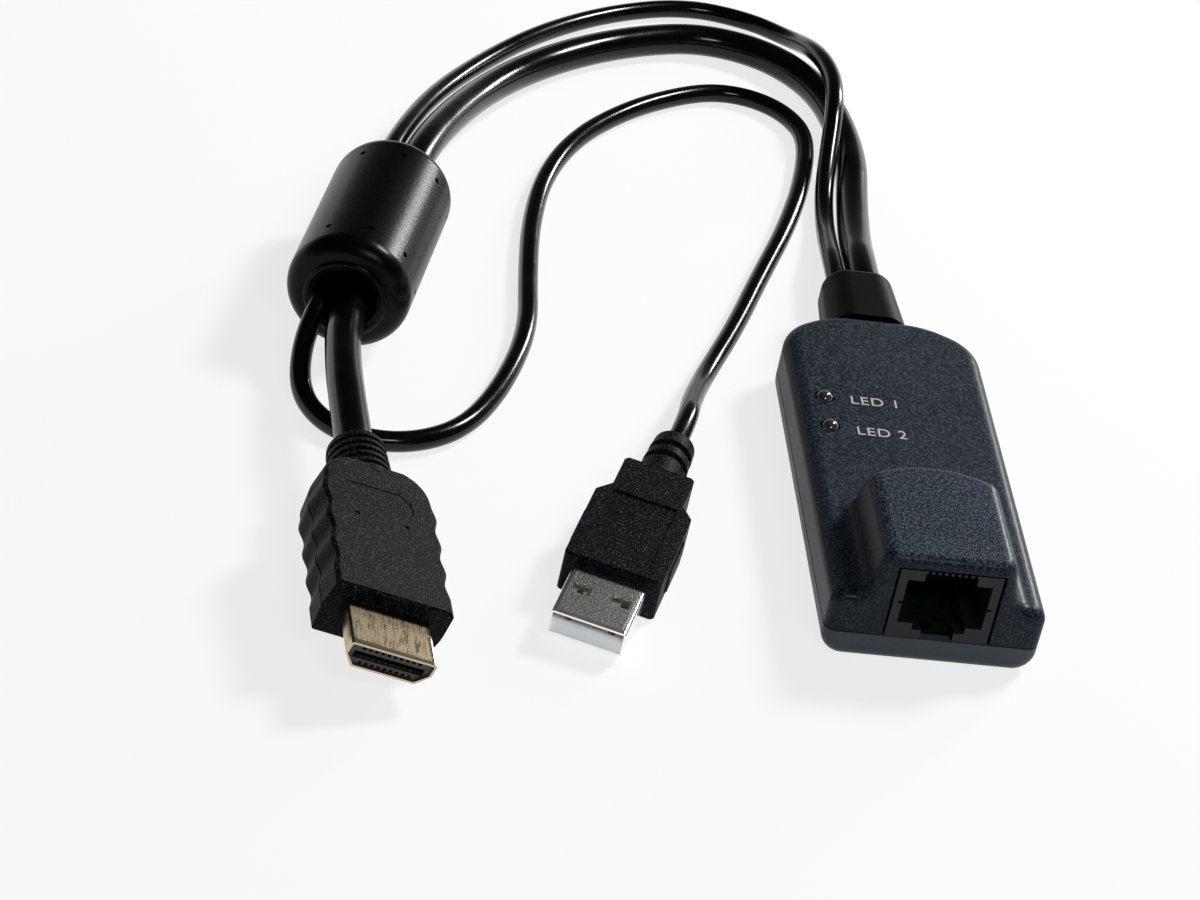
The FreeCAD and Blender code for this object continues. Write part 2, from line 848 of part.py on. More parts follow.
def ferrite_jacket():
    """The moulded jacket: rolled ends, dished end faces, a collar round the bore and pin holes."""
    dish = ferrite_dish
    collar_top = dish - ferrite_collar_height
    length = ferrite_length
    points = [
        V(ferrite_bore, collar_top, 0),
        V(ferrite_collar, collar_top, 0),
        V(ferrite_collar, dish, 0),
        V(ferrite_collar + 0.6, dish, 0),
        V(ferrite_collar + 1.0, 0, 0),
        V(ferrite_radius, 0, 0),
        V(ferrite_radius, length, 0),
        V(ferrite_collar + 1.0, length, 0),
        V(ferrite_collar + 0.6, length - dish, 0),
        V(ferrite_collar, length - dish, 0),
        V(ferrite_collar, length - collar_top, 0),
        V(ferrite_bore, length - collar_top, 0),
    ]
    roll = min(ferrite_roll, ferrite_radius - ferrite_collar - 1.05)
    radii = [0.25, 0.3, 0, 0, 0, roll, roll, 0, 0, 0, 0.3, 0.25]
    jacket = bead_solid(rounded_polygon(points, radii)).cut(ferrite_core())
    right = ferrite_direction.cross(Z_AXIS)
    for distance in (pin_inset, length - pin_inset):
        for i in range(pin_count):
            angle = math.radians(pin_first + 360 * i / pin_count)
            outward = right * math.cos(angle) + Z_AXIS * math.sin(angle)
            start = ferrite_front + ferrite_direction * distance + outward * (ferrite_radius - pin_depth)
            jacket = jacket.cut(Part.makeCylinder(pin_radius, pin_depth * 2, start, outward))
    return jacket


def placed(shape, at, turn):
    """A plug part moved from the plug's own frame to where the plug lies."""
    yaw, pitch, roll = turn
    rotation = FreeCAD.Rotation(Z_AXIS, yaw)
    rotation = rotation.multiply(FreeCAD.Rotation(X_AXIS, pitch))
    rotation = rotation.multiply(FreeCAD.Rotation(Y_AXIS, roll))
    moved = shape.copy()
    moved.Placement = FreeCAD.Placement(at, rotation).multiply(shape.Placement)
    return moved


def plug_tail(at, turn, distance):
    """Where a cable meets its plug's strain relief, and the direction in which it leaves."""
    face = placed(Part.Vertex(0, distance, 0), at, turn).Point
    beyond = placed(Part.Vertex(0, distance + 1, 0), at, turn).Point
    return face, beyond - face


def strain_relief(start, end, radius, end_radius, rings, sleeve):
    """A tapered round relief with ring grooves beyond a plain sleeve, turned about Y."""
    length = end - start
    step = (length - sleeve) / (rings + 0.5)
    points = [V(0, start - 1.5, 0), V(radius, start - 1.5, 0)]
    for i in range(rings):
        y = start + sleeve + step * i
        outer = radius + (end_radius - radius) * (y - start) / length
        points.extend([V(outer, y, 0), V(outer - 0.9, y + 0.15, 0)])
        points.extend([V(outer - 0.9, y + 0.4 * step, 0), V(outer, y + 0.4 * step + 0.15, 0)])
    points.extend([V(end_radius, end - 0.6, 0), V(end_radius - 0.6, end, 0), V(0, end, 0)])
    return Part.Face(polygon(points)).revolve(ORIGIN, Y_AXIS, 360)


def video_section(inset, y):
    """The video shell's section at a distance: upright upper sides, tapering to a narrower foot."""
    half = video_shell_width / 2 - inset
    foot = video_shell_foot / 2 - inset * 0.7
    top = video_shell_height / 2 - inset
    bend = video_shell_height / 2 - video_shell_straight
    bottom = -video_shell_height / 2 + inset
    points = [V(-foot, y, bottom), V(foot, y, bottom), V(half, y, bend), V(half, y, top), V(-half, y, top)]
    points.append(V(-half, y, bend))
    corner = 0.5 - inset * 0.6
    return rounded_polygon(points, [corner] * len(points))


def video_plug_shell():
    """The plated shell that the mating socket receives."""
    length = video_shell_out + video_shell_hold
    outer = prism(video_section(0, 0), V(0, length, 0))
    inner = prism(video_section(video_shell_wall, -1), V(0, length + 2, 0))
    return outer.cut(inner)


def video_plug_insert():
    """The insulator in the shell, with its mating slot and the cells of both contact rows."""
    front = video_insert_setback
    body = prism(video_section(video_shell_wall, front), V(0, video_insert_depth, 0))
    slot_half = video_slot_half
    body = body.cut(
        block(-slot_half, slot_half, front - 1, front + video_slot_depth, video_slot_bottom, video_slot_top)
    )
    rows = ((video_cell_upper, video_upper_ways), (video_cell_lower, video_lower_ways))
    for z, ways in rows:
        for way in range(ways):
            x = (way - (ways - 1) / 2) * video_pitch
            half = video_cell / 2
            cell = block(x - half, x + half, front - 1, front + video_cell_depth, z - half, z + half)
            body = body.cut(cell)
    return body


def video_plug_contacts():
    """Nineteen contact strips on the two walls of the mating slot."""
    strips = []
    start = video_insert_setback + 0.6
    end = video_insert_setback + video_slot_depth
    half = contact_width / 2
    for way in range(video_upper_ways):
        x = (way - (video_upper_ways - 1) / 2) * video_pitch
        strips.append(
            block(x - half, x + half, start, end, video_slot_top - contact_thickness, video_slot_top)
        )
    for way in range(video_lower_ways):
        x = (way - (video_lower_ways - 1) / 2) * video_pitch
        strips.append(
            block(x - half, x + half, start, end, video_slot_bottom, video_slot_bottom + contact_thickness)
        )
    return Part.makeCompound(strips)


def video_grip_outline(inset, z, depth):
    """The video grip's outline at a height: plain front block, waved sides, rounded shoulders."""
    front = video_shell_out
    half = video_body_half - inset
    length = video_wave_end - video_wave_start
    samples = int(video_wave_count * 8)
    side = [V(half + depth, video_wave_start, z)]
    for i in range(1, samples + 1):
        share = i / samples
        wave = depth * math.cos(2 * math.pi * video_wave_count * share)
        side.append(V(half + wave, video_wave_start + length * share, z))
    rear = video_body_rear - inset * 0.5
    shoulder = V(half * 0.87, (video_wave_end + rear) / 2 + 0.3, z)
    corner = V(video_rear_half, rear, z)
    nose = V(half + depth, front, z)
    right = Part.BSplineCurve()
    right.interpolate(side)
    left = Part.BSplineCurve()
    left.interpolate([V(-point.x, point.y, point.z) for point in reversed(side)])
    mirror_nose = V(-nose.x, front, z)
    mirror_shoulder = V(-shoulder.x, shoulder.y, z)
    mirror_corner = V(-corner.x, corner.y, z)
    mirror_start = V(-side[0].x, side[0].y, z)
    mirror_end = V(-side[-1].x, side[-1].y, z)
    edges = [
        Part.LineSegment(mirror_nose, nose).toShape(),
        Part.LineSegment(nose, side[0]).toShape(),
        right.toShape(),
        Part.Arc(side[-1], shoulder, corner).toShape(),
        Part.LineSegment(corner, mirror_corner).toShape(),
        Part.Arc(mirror_corner, mirror_shoulder, mirror_end).toShape(),
        left.toShape(),
        Part.LineSegment(mirror_start, mirror_nose).toShape(),
    ]
    return Part.Wire(edges)


def groove(points, width, depth, top):
    """A shallow groove along a line on the video grip's top, as stock to cut away."""
    stock = []
    for start, end in zip(points, points[1:]):
        first = V(start[0], start[1], top - depth)
        run = V(end[0], end[1], top - depth) - first
        across = Z_AXIS.cross(run).normalize() * (width / 2)
        outline = polygon([first + across, first - across, first - across + run, first + across + run])
        stock.append(prism(outline, V(0, 0, depth * 2)))
        stock.append(post(width, start[0], start[1], top - depth, top + depth))
    return stock


def video_plug_body():
    """The video plug's grip and strain relief, moulded in one."""
    bevel = video_body_bevel
    seam = video_seam_half
    sections = [
        video_grip_outline(bevel + 0.6, video_body_bottom, video_rim_wave_depth),
        video_grip_outline(0.6, video_body_bottom + bevel, video_wave_depth),
        video_grip_outline(-0.1, -seam, video_wave_depth),
        video_grip_outline(video_seam_depth - 0.1, 0, video_wave_depth),
        video_grip_outline(-0.1, seam, video_wave_depth),
        video_grip_outline(0.15, video_body_top - bevel, video_wave_depth),
        video_grip_outline(bevel + 0.15, video_body_top, video_rim_wave_depth),
    ]
    grip = Part.makeLoft(sections, True, True)

    def nose(edge):
        return abs(edge.BoundBox.YMax - video_shell_out) < 0.01

    nose_edges = [edge for edge in grip.Edges if nose(edge)]
    grip = grip.makeChamfer(video_nose_roll, [edge for edge in nose_edges if edge.BoundBox.XLength > 5])
    marks = groove(video_line, video_line_width, video_line_depth, video_body_top)
    for x, y in video_pits:
        marks.append(post(2 * video_pit_radius, x, y, video_body_top - video_line_depth, video_body_top + 1))
    for mark in marks:
        grip = grip.cut(mark)
    relief = strain_relief(
        video_body_rear,
        video_relief_end,
        video_relief_radius,
        video_relief_end_radius,
        video_relief_rings,
        video_relief_sleeve,
    )
    length = video_shell_out + video_shell_hold
    pocket = prism(video_section(0, 0), V(0, length, 0))
    return grip.fuse(relief).cut(pocket)


def data_shell_form():
    """The data shell's outer form, rear part included, as one closed solid."""
    half = data_shell_width / 2
    rise = data_shell_height / 2
    corners = [V(-half, 0, -rise), V(half, 0, -rise), V(half, 0, rise), V(-half, 0, rise)]
    length = data_shell_out + data_shell_hold
    return prism(rounded_polygon(corners, [data_shell_corner] * 4), V(0, length, 0))


def data_plug_shell():
    """The folded steel shell with its two latch windows above and below."""
    half = data_shell_width / 2
    rise = data_shell_height / 2
    length = data_shell_out + data_shell_hold
    inner = block(
        -half + data_shell_wall,
        half - data_shell_wall,
        -1,
        length + 1,
        -rise + data_shell_wall,
        rise - data_shell_wall,
    )
    shell = data_shell_form().cut(inner)
    for side in (-1, 1):
        near = side * data_window_inner
        far = side * data_window_outer
        shell = shell.cut(
            block(min(near, far), max(near, far), data_window_front, data_window_rear, -rise - 1, rise + 1)
        )
    return shell


def data_plug_tongue():
    """The insulating tongue along the shell's lower half."""
    half = data_shell_width / 2 - data_shell_wall
    bottom = -data_shell_height / 2 + data_shell_wall
    rear = data_shell_out + data_shell_hold
    tongue = block(-half, half, data_tongue_setback, rear, bottom, bottom + data_tongue_thickness)
    plug = block(-half, half, data_tongue_length, rear, bottom, -bottom)
    return tongue.fuse(plug).removeSplitter()


def data_plug_contacts():
    """Four contact strips on the tongue, the outer two longer."""
    top = -data_shell_height / 2 + data_shell_wall + data_tongue_thickness
    strips = []
    for x, length in data_contact_rows:
        half = data_contact_width / 2
        start = data_contact_setback + data_contact_rows[0][1] - length
        strips.append(block(x - half, x + half, start, start + length, top, top + contact_thickness))
    return Part.makeCompound(strips)


def side_pad(side):
    """The finger pad that stands proud of one side of the data plug's grip."""
    root = side * (data_body_half - 0.5)
    face = side * (data_body_half + data_pad_proud)
    left = min(root, face)
    right = max(root, face)
    pad = block(left, right, data_pad_front, data_pad_rear, -data_pad_half, data_pad_half)

    def outer(edge):
        box = edge.BoundBox
        return box.XLength < 0.01 and abs(middle_of(edge).x - face) < 0.01

    return pad.makeChamfer(data_pad_proud - 0.05, [edge for edge in pad.Edges if outer(edge)])


def data_plug_body():
    """The data plug's grip, neck and strain relief, moulded in one."""
    rise = data_body_height / 2
    front = data_shell_out
    points = [
        V(-data_body_half, front, -rise),
        V(data_body_half, front, -rise),
        V(data_body_half, data_body_shoulder, -rise),
        V(data_neck_half, data_neck_start, -rise),
        V(data_neck_half, data_neck_end, -rise),
        V(-data_neck_half, data_neck_end, -rise),
        V(-data_neck_half, data_neck_start, -rise),
        V(-data_body_half, data_body_shoulder, -rise),
    ]
    grip = prism(rounded_polygon(points, [0.8, 0.8, 0.8, 0, 0.8, 0.8, 0, 0.8]), V(0, 0, 2 * rise))

    def rim(edge):
        return edge.BoundBox.ZLength < 0.01

    grip = grip.makeChamfer(data_body_roll / 2, [edge for edge in grip.Edges if rim(edge)])
    floor = rise - data_panel_depth
    panel = block(-data_panel_half, data_panel_half, data_panel_front, data_panel_rear, floor, rise + 1)
    for side in (-1, 1):
        grip = grip.fuse(side_pad(side))
    relief = strain_relief(
        data_neck_end,
        data_relief_end,
        data_relief_radius,
        data_relief_end_radius,
        data_relief_rings,
        data_relief_sleeve,
    )
    return grip.cut(panel).fuse(relief).cut(data_shell_form())


def case_parts():
    """The case, the jack, the board and everything inside, by node name."""
    base = parting_height
    return {
        "top_cover": top_cover(),
        "bottom_cover": bottom_cover(),
        "case_screws": case_screws(),
        "circuit_board": circuit_board(),
        "jack_housing": jack_housing(),
        "jack_contacts": jack_contacts(),
        "power_lamp": lamp(power_lamp_y),
        "active_lamp": lamp(active_lamp_y),
        "main_chip": leaded_chip(main_chip_at, main_chip_side, main_chip_height, base),
        "network_chip": leaded_chip(network_chip_at, network_chip_side, network_chip_height, base),
        "line_transformer": line_transformer(),
        "crystal": crystal(),
        "capacitors": capacitors(),
        "wire_header": wire_header(),
        "inner_wires": inner_wires(),
        "cable_boot": cable_boot(),
    }


def lead_parts():
    """The two cables, the ferrite bead and both plugs, by node name."""
    parts = {
        "video_cable": cable("video_cable", video_diameter, video_route()),
        "data_cable": cable("data_cable", data_diameter, data_route()),
        "ferrite_core": ferrite_core(),
        "ferrite_jacket": ferrite_jacket(),
    }
    for build in (video_plug_body, video_plug_shell, video_plug_insert, video_plug_contacts):
        parts[build.__name__] = placed(build(), video_plug_at, video_plug_turn)
    for build in (data_plug_body, data_plug_shell, data_plug_tongue, data_plug_contacts):
        parts[build.__name__] = placed(build(), data_plug_at, data_plug_turn)
    return parts


def main():
    os.makedirs("parts", exist_ok=True)
    parts = {**case_parts(), **lead_parts()}
    for name, shape in parts.items():
        box = shape.BoundBox
        size = [round(length, 1) for length in (box.XLength, box.YLength, box.ZLength)]
        print(name, "solids", len(shape.Solids), "valid", shape.isValid(), "size", size)
        shape.exportStep("parts/" + name + ".step")


main()
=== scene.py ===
"""Finishes, cords and small fittings for the dongle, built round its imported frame."""

import logging
import math
from dataclasses import dataclass, field
from enum import Enum
from typing import Sequence, Union

import bmesh
import bpy
from mathutils import Matrix, Vector


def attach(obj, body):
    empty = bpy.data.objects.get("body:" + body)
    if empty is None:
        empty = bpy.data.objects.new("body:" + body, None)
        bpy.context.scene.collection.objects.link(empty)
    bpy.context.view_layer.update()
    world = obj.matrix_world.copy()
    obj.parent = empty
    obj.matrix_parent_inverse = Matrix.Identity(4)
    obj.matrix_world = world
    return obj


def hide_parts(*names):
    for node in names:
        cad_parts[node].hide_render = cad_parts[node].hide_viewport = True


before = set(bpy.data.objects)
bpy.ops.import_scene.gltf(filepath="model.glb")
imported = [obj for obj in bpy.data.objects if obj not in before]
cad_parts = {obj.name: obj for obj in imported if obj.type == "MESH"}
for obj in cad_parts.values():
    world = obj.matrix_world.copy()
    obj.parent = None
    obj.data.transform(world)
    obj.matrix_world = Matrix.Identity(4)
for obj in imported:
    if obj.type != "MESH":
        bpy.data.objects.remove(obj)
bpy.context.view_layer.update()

LOG = logging.getLogger("dongle")
BODY = "root"
MM = 0.001

Colour = tuple[float, float, float]
Point = tuple[float, float, float]
Value = Union["Field", bpy.types.NodeSocket, float, int, Colour]

BLACK: Colour = (0.0, 0.0, 0.0)
WHITE: Colour = (1.0, 1.0, 1.0)


class Far(Enum):
    """What is on a cord's far end."""

    PLUG = "plug"


class Lay(Enum):
    """How a cord lies."""

    LOOSE = "loose"


class Stiffness(Enum):
    """How readily a cord bends."""

    MEDIUM = "medium"


@dataclass(frozen=True)
class Seat:
    """Where a plug or the ferrite bead lies: a place in mm and turns about Z, X and Y in degrees."""

    at: Point
    turn: tuple[float, float, float] = (0.0, 0.0, 0.0)

    def matrix(self) -> Matrix:
        """Work out where the piece lies.

        Returns:
            The move, in metres, from the piece's own frame to where it lies.
        """
        spin = Matrix.Identity(4)
        for angle, axis in zip(self.turn, "ZXY"):
            spin = spin @ Matrix.Rotation(math.radians(angle), 4, axis)
        return Matrix.Translation(Vector(self.at) * MM) @ spin

    def point(self, x: float, y: float, z: float) -> Point:
        """Return a point of the piece's own frame where it lies, in mm."""
        return tuple(value / MM for value in self.matrix() @ (Vector((x, y, z)) * MM))


VIDEO_SEAT = Seat((-84.5, -69.3, 7.15), (6.0, 3.96, 18.6))
DATA_SEAT = Seat((-53.9, -52.6, 3.4), (-19.7, 4.27, 1.93))


class Field:
    """A number that varies over a surface: a shader socket with arithmetic."""

    def __init__(self, tree: "Tree", socket: bpy.types.NodeSocket) -> None:
        """Wrap a socket.

        Args:
            tree: The tree that the socket belongs to.
            socket: The output that carries the number.
        """
        self.tree = tree
        self.socket = socket

    def reckon(self, operation: str, *values: Value, clamp: bool = False) -> "Field":
        """Add one Math node.

        Args:
            operation: The Math node's operation.
            values: Its inputs, in order.
            clamp: Whether the result is held between 0 and 1.

        Returns:
            The node's result.
        """
        node = self.tree.node(
            "ShaderNodeMath", {"operation": operation, "use_clamp": clamp}, dict(enumerate(values))
        )
        return Field(self.tree, node.outputs[0])

    def __add__(self, other: Value) -> "Field":
        """Return the sum."""
        return self.reckon("ADD", self, other)

    def __radd__(self, other: Value) -> "Field":
        """Return the sum, reflected."""
        return self.reckon("ADD", other, self)

    def __sub__(self, other: Value) -> "Field":
        """Return the difference."""
        return self.reckon("SUBTRACT", self, other)

    def __rsub__(self, other: Value) -> "Field":
        """Return the difference, reflected."""
        return self.reckon("SUBTRACT", other, self)

    def __mul__(self, other: Value) -> "Field":
        """Return the product."""
        return self.reckon("MULTIPLY", self, other)

    def __rmul__(self, other: Value) -> "Field":
        """Return the product, reflected."""
        return self.reckon("MULTIPLY", other, self)

    def ramp(self, low: float, high: float) -> "Field":
        """Return 0 below low, 1 above high and a straight rise between."""
        return ((self - low) * (1.0 / (high - low))).held()

    def swing(self, width: float) -> "Field":
        """Return the number's distance from a half, scaled by a width."""
        return (self - 0.5) * width

    def size(self) -> "Field":
        """Return the number without its sign."""
        return self.reckon("ABSOLUTE", self)

    def held(self) -> "Field":
        """Return the number held between 0 and 1."""
        return self.reckon("ADD", self, 0.0, clamp=True)


class Tree:
    """A node tree with a short way to add nodes."""

    def __init__(self, tree: bpy.types.NodeTree) -> None:
        """Start with an empty tree.

        Args:
            tree: The tree of a material, a world or a Geometry Nodes group.
        """
        self.tree = tree
        self.tree.nodes.clear()

    def node(
        self, kind: str, settings: dict | None = None, sockets: dict | None = None
    ) -> bpy.types.Node:
        """Add a node.

        Args:
            kind: The node's type.
            settings: Its own settings, which are set first.
            sockets: Values or links for its inputs, by name or number.

        Returns:
            The new node.
        """
        made = self.tree.nodes.new(kind)
        for key, value in (settings or {}).items():
            setattr(made, key, value)
        for key, value in (sockets or {}).items():
            self.feed(made.inputs[key], value)
        return made

    def feed(self, socket: bpy.types.NodeSocket, value: Value) -> None:
        """Link a socket, or set its own value.

        Args:
            socket: The input.
            value: A Field or socket to link, or a plain value.
        """
        if isinstance(value, Field):
            value = value.socket
        if isinstance(value, bpy.types.NodeSocket):
            self.tree.links.new(value, socket)
        elif isinstance(value, tuple) and len(value) == 3 and len(socket.default_value) == 4:
            socket.default_value = (*value, 1.0)
        else:
            socket.default_value = value

    def rays(self, *names: str) -> Field:
        """Tell some kinds of ray from the others.

        Args:
            names: The kinds, as Light Path names them.

        Returns:
            1 where a ray is of one of the kinds, 0 elsewhere.
        """
        path = self.node("ShaderNodeLightPath")
        total = Field(self, path.outputs[names[0]])
        for name in names[1:]:
            total = total + Field(self, path.outputs[name])
        return total.held()


class Recipe(Tree):
    """One material's node tree round a Principled shader."""

    def __init__(self, name: str) -> None:
        """Start a material.

        Args:
            name: The material's name.
        """
        self.material = bpy.data.materials.new(name)
        self.material.use_nodes = True
        super().__init__(self.material.node_tree)
        self.output = self.node("ShaderNodeOutputMaterial")
        self.shader = self.node("ShaderNodeBsdfPrincipled")
        self.feed(self.output.inputs["Surface"], self.shader.outputs[0])
        self.place = self.node("ShaderNodeTexCoord").outputs["Object"]

    def set(self, **sockets: Value) -> None:
        """Feed the shader's inputs, named with underscores for spaces."""
        for name, value in sockets.items():
            self.feed(self.shader.inputs[name.replace("_", " ")], value)

    def noise(self, size: float, detail: float = 3.0, rough: float = 0.55, bend: float = 0.0) -> Field:
        """Return noise about a feature size in metres."""
        node = self.node(
            "ShaderNodeTexNoise",
            {"noise_dimensions": "3D"},
            {
                "Vector": self.place,
                "Scale": 1.0 / size,
                "Detail": detail,
                "Roughness": rough,
                "Distortion": bend,
            },
        )
        return Field(self, node.outputs["Fac"])

    def cells(self, size: float, feature: str = "F1") -> Field:
        """Return distance to the nearest of scattered points about size apart."""
        node = self.node(
            "ShaderNodeTexVoronoi", {"feature": feature}, {"Vector": self.place, "Scale": 1.0 / size}
        )
        return Field(self, node.outputs["Distance"])

    def height(self) -> Field:
        """Return the height above the floor, in metres."""
        parted = self.node("ShaderNodeSeparateXYZ", None, {"Vector": self.place})
        return Field(self, parted.outputs["Z"])

    def along(self, seat: Seat, axis: Point) -> Field:
        """Measure from a seat along one of its level axes.

        Args:
            seat: Where the piece lies.
            axis: The axis in the piece's own frame, of length 1.

        Returns:
            The distance in metres.
        """
        ray = Matrix.Rotation(math.radians(seat.turn[0]), 3, "Z") @ Vector(axis)
        node = self.node(
            "ShaderNodeVectorMath", {"operation": "DOT_PRODUCT"}, {0: self.place, 1: tuple(ray)}
        )
        return Field(self, node.outputs["Value"]) - ray.dot(Vector(seat.at)) * MM

    def blend(self, share: Value, first: Value, second: Value) -> bpy.types.NodeSocket:
        """Return a colour between two.

        Args:
            share: 0 for the first, 1 for the second.
            first: A colour.
            second: A colour.

        Returns:
            The mixed colour's socket.
        """
        node = self.node("ShaderNodeMix", {"data_type": "RGBA"}, {0: share, 6: first, 7: second})
        return node.outputs[2]

    def relief(self, height: Value, depth: float, strength: float = 1.0) -> bpy.types.NodeSocket:
        """Return a bumped normal.

        Args:
            height: The height pattern, 0 to 1.
            depth: How deep the pattern is, in metres.
            strength: The share of the bump that shows.

        Returns:
            The normal's socket.
        """
        return self.node(
            "ShaderNodeBump", None, {"Height": height, "Distance": depth, "Strength": strength}
        ).outputs[0]


@dataclass(frozen=True)
class Moulding:
    """A moulded plastic or rubber: fine spark-eroded grain, light flecks, faint mottling, with an
    optional painted sheen of thicker flecks above a set height and an optional painted glow near the
    data plug's front.
    """

    name: str
    colour: Colour
    fleck: Colour
    fleck_share: float = 0.25
    roughness: float = 0.5
    spread: float = 0.12
    grain: float = 0.00028
    depth: float = 0.000015
    specular: float = 0.5
    sparse: float = 0.46
    fade: float = 0.16
    # These three fields paint a sheen: above a set height the light flecks take a larger share, so the
    # top of the piece is painted lighter.
    painted_sheen_top: float = 0.0
    painted_sheen_top_fade: float = 0.0015
    painted_sheen_top_share: float = 0.3
    # These three fields paint a glow: the piece emits light over a set depth behind the data plug's
    # front, fading out by twice that depth.
    glow: float = 0.0
    painted_glow_colour: Colour = (0.9, 0.97, 1.0)
    edge: float = 0.0009
    coat: float = 0.0
    coat_roughness: float = 0.24
    fleck_size: float = 1.3
    fleck_rim: float = 0.4
    fleck_heart: float = 0.1
    drift_size: float = 50.0
    grain_part: float = 0.75
    drift_part: float = 0.25

    def make(self) -> bpy.types.Material:
        """Build the material.

        Returns:
            The finished material.
        """
        recipe = Recipe(self.name)
        grain = recipe.noise(self.grain, detail=2.0, rough=0.7)
        flecks = recipe.cells(self.grain * self.fleck_size).ramp(self.fleck_rim, self.fleck_heart)
        drift = recipe.noise(self.grain * self.drift_size, detail=3.0, rough=0.5)
        fleck_part = 1.0 - self.grain_part
        share = self.fleck_share
        # Painted sheen: above the set height the share of light flecks grows, painting the top lighter.
        if self.painted_sheen_top > 0.0:
            painted_sheen_top = recipe.height().ramp(self.painted_sheen_top, self.painted_sheen_top + self.painted_sheen_top_fade)
            share = painted_sheen_top * self.painted_sheen_top_share + share
        bright = grain.ramp(self.sparse, self.sparse + self.fade)
        tone = (bright * self.grain_part + flecks * fleck_part + drift.swing(self.drift_part)) * share
        recipe.set(
            Base_Color=recipe.blend(tone.held(), self.colour, self.fleck),
            Roughness=drift.swing(self.spread) + grain.swing(self.spread) + self.roughness,
            Specular_IOR_Level=self.specular,
            Normal=recipe.relief(grain * self.grain_part + flecks * fleck_part, self.depth),
        )
        if self.coat > 0.0:
            recipe.set(Coat_Weight=self.coat, Coat_Roughness=self.coat_roughness)
        # Painted glow: the piece emits light near the data plug's front though it is no lamp.
        if self.glow > 0.0:
            edge = recipe.along(DATA_SEAT, (0.0, 1.0, 0.0)).ramp(self.edge * 2, self.edge)
            lit = recipe.blend(edge, BLACK, self.painted_glow_colour)
            recipe.set(Emission_Color=lit, Emission_Strength=self.glow)
        return recipe.material


@dataclass(frozen=True)
class Plating:
    """A plated metal: patches and sparkle, or streaks drawn out along one direction; where the dark
    tone is strong, as on the gold and nickel shells, its dark patches and streaks are painted
    reflection.
    """

    name: str
    colour: Colour
    dark_patch_and_painted_reflection: Colour
    roughness: float = 0.3
    spread: float = 0.25
    mottle: float = 0.0016
    grain: float = 0.00018
    depth: float = 0.00001
    contrast: float = 0.3
    draw: float = 1.0
    heading: float = 0.0
    seat: Seat | None = None
    half: float = 0.0
    rim: float = 0.0005
    mottle_part: float = 0.6

    def make(self) -> bpy.types.Material:
        """Build the material.

        Returns:
            The finished material.
        """
        recipe = Recipe(self.name)
        # Near the seated shell's side rims and front rim the mottle, with its painted reflection, and
        # its bump fade out to the plain colour.
        open_face = None
        if self.seat:
            sideways = recipe.along(self.seat, (1.0, 0.0, 0.0)).size()
            inward = recipe.along(self.seat, (0.0, 1.0, 0.0))
            flat = sideways.ramp(self.half, self.half - self.rim)
            open_face = flat * inward.ramp(self.rim, self.rim * 2)
        if self.draw != 1.0:
            turned = recipe.node(
                "ShaderNodeMapping",
                {"vector_type": "POINT"},
                {
                    "Vector": recipe.place,
                    "Rotation": (0.0, 0.0, -self.heading),
                    "Scale": (1.0, 1.0 / self.draw, 1.0),
                },
            )
            recipe.place = turned.outputs[0]
        mottle = recipe.noise(self.mottle, detail=5.0, rough=0.65, bend=0.4)
        grain = recipe.noise(self.grain, detail=2.0, rough=0.5)
        mixed = mottle * self.mottle_part + grain * (1.0 - self.mottle_part)
        tone = mixed.ramp(0.5 - self.contrast / 2, 0.5 + self.contrast / 2)
        height = mottle * 0.5 + grain * 0.5
        if open_face:
            tone = tone * open_face
            height = height * open_face
        recipe.set(
            Base_Color=recipe.blend(tone, self.colour, self.dark_patch_and_painted_reflection),
            Metallic=1.0,
            Roughness=tone.swing(self.spread) + self.roughness,
            Normal=recipe.relief(height, self.depth),
        )
        return recipe.material


@dataclass(frozen=True)
class Jacket:
    """A glossy cable jacket: near-black, faintly ribbed by its strands, with soft handling marks."""

    name: str
    colour: Colour
    fleck: Colour
    roughness: float
    mark_size: float = 0.006
    mark_low: float = 0.45
    mark_high: float = 0.8
    mark_spread: float = 0.2
    skin_size: float = 0.0007
    skin_spread: float = 0.08
    skin_part: float = 0.4
    depth: float = 0.00002
    bump: float = 0.6
    specular: float = 0.3

    def make(self) -> bpy.types.Material:
        """Build the material.

        Returns:
            The finished material.
        """
        recipe = Recipe(self.name)
        marks = recipe.noise(self.mark_size, detail=4.0, rough=0.6, bend=0.3)
        skin = recipe.noise(self.skin_size, detail=3.0, rough=0.5)
        height = skin * self.skin_part + marks * (1.0 - self.skin_part)
        recipe.set(
            Specular_IOR_Level=self.specular,
            Base_Color=recipe.blend(marks.ramp(self.mark_low, self.mark_high), self.colour, self.fleck),
            Roughness=marks.swing(self.mark_spread) + skin.swing(self.skin_spread) + self.roughness,
            Normal=recipe.relief(height, self.depth, self.bump),
        )
        return recipe.material


@dataclass(frozen=True)
class Laminate:
    """A green board: solder mask over faint copper runs, with fine glass weave."""

    name: str
    colour: Colour
    copper: Colour
    run_spacing: float = 0.0028
    run_rim: float = 0.16
    run_heart: float = 0.1
    run_share: float = 0.5
    run_height: float = 0.7
    weave_size: float = 0.0004
    weave_share: float = 0.1
    weave_height: float = 0.3
    roughness: float = 0.3
    spread: float = 0.2
    depth: float = 0.00003

    def make(self) -> bpy.types.Material:
        """Build the material.

        Returns:
            The finished material.
        """
        recipe = Recipe(self.name)
        edges = recipe.cells(self.run_spacing, "DISTANCE_TO_EDGE")
        runs = edges.ramp(self.run_rim, self.run_heart)
        weave = recipe.noise(self.weave_size, detail=2.0, rough=0.5)
        share = runs * self.run_share + weave * self.weave_share
        height = runs * self.run_height + weave * self.weave_height
        recipe.set(
            Base_Color=recipe.blend(share, self.colour, self.copper),
            Roughness=weave * self.spread + self.roughness,
            Normal=recipe.relief(height, self.depth),
        )
        return recipe.material


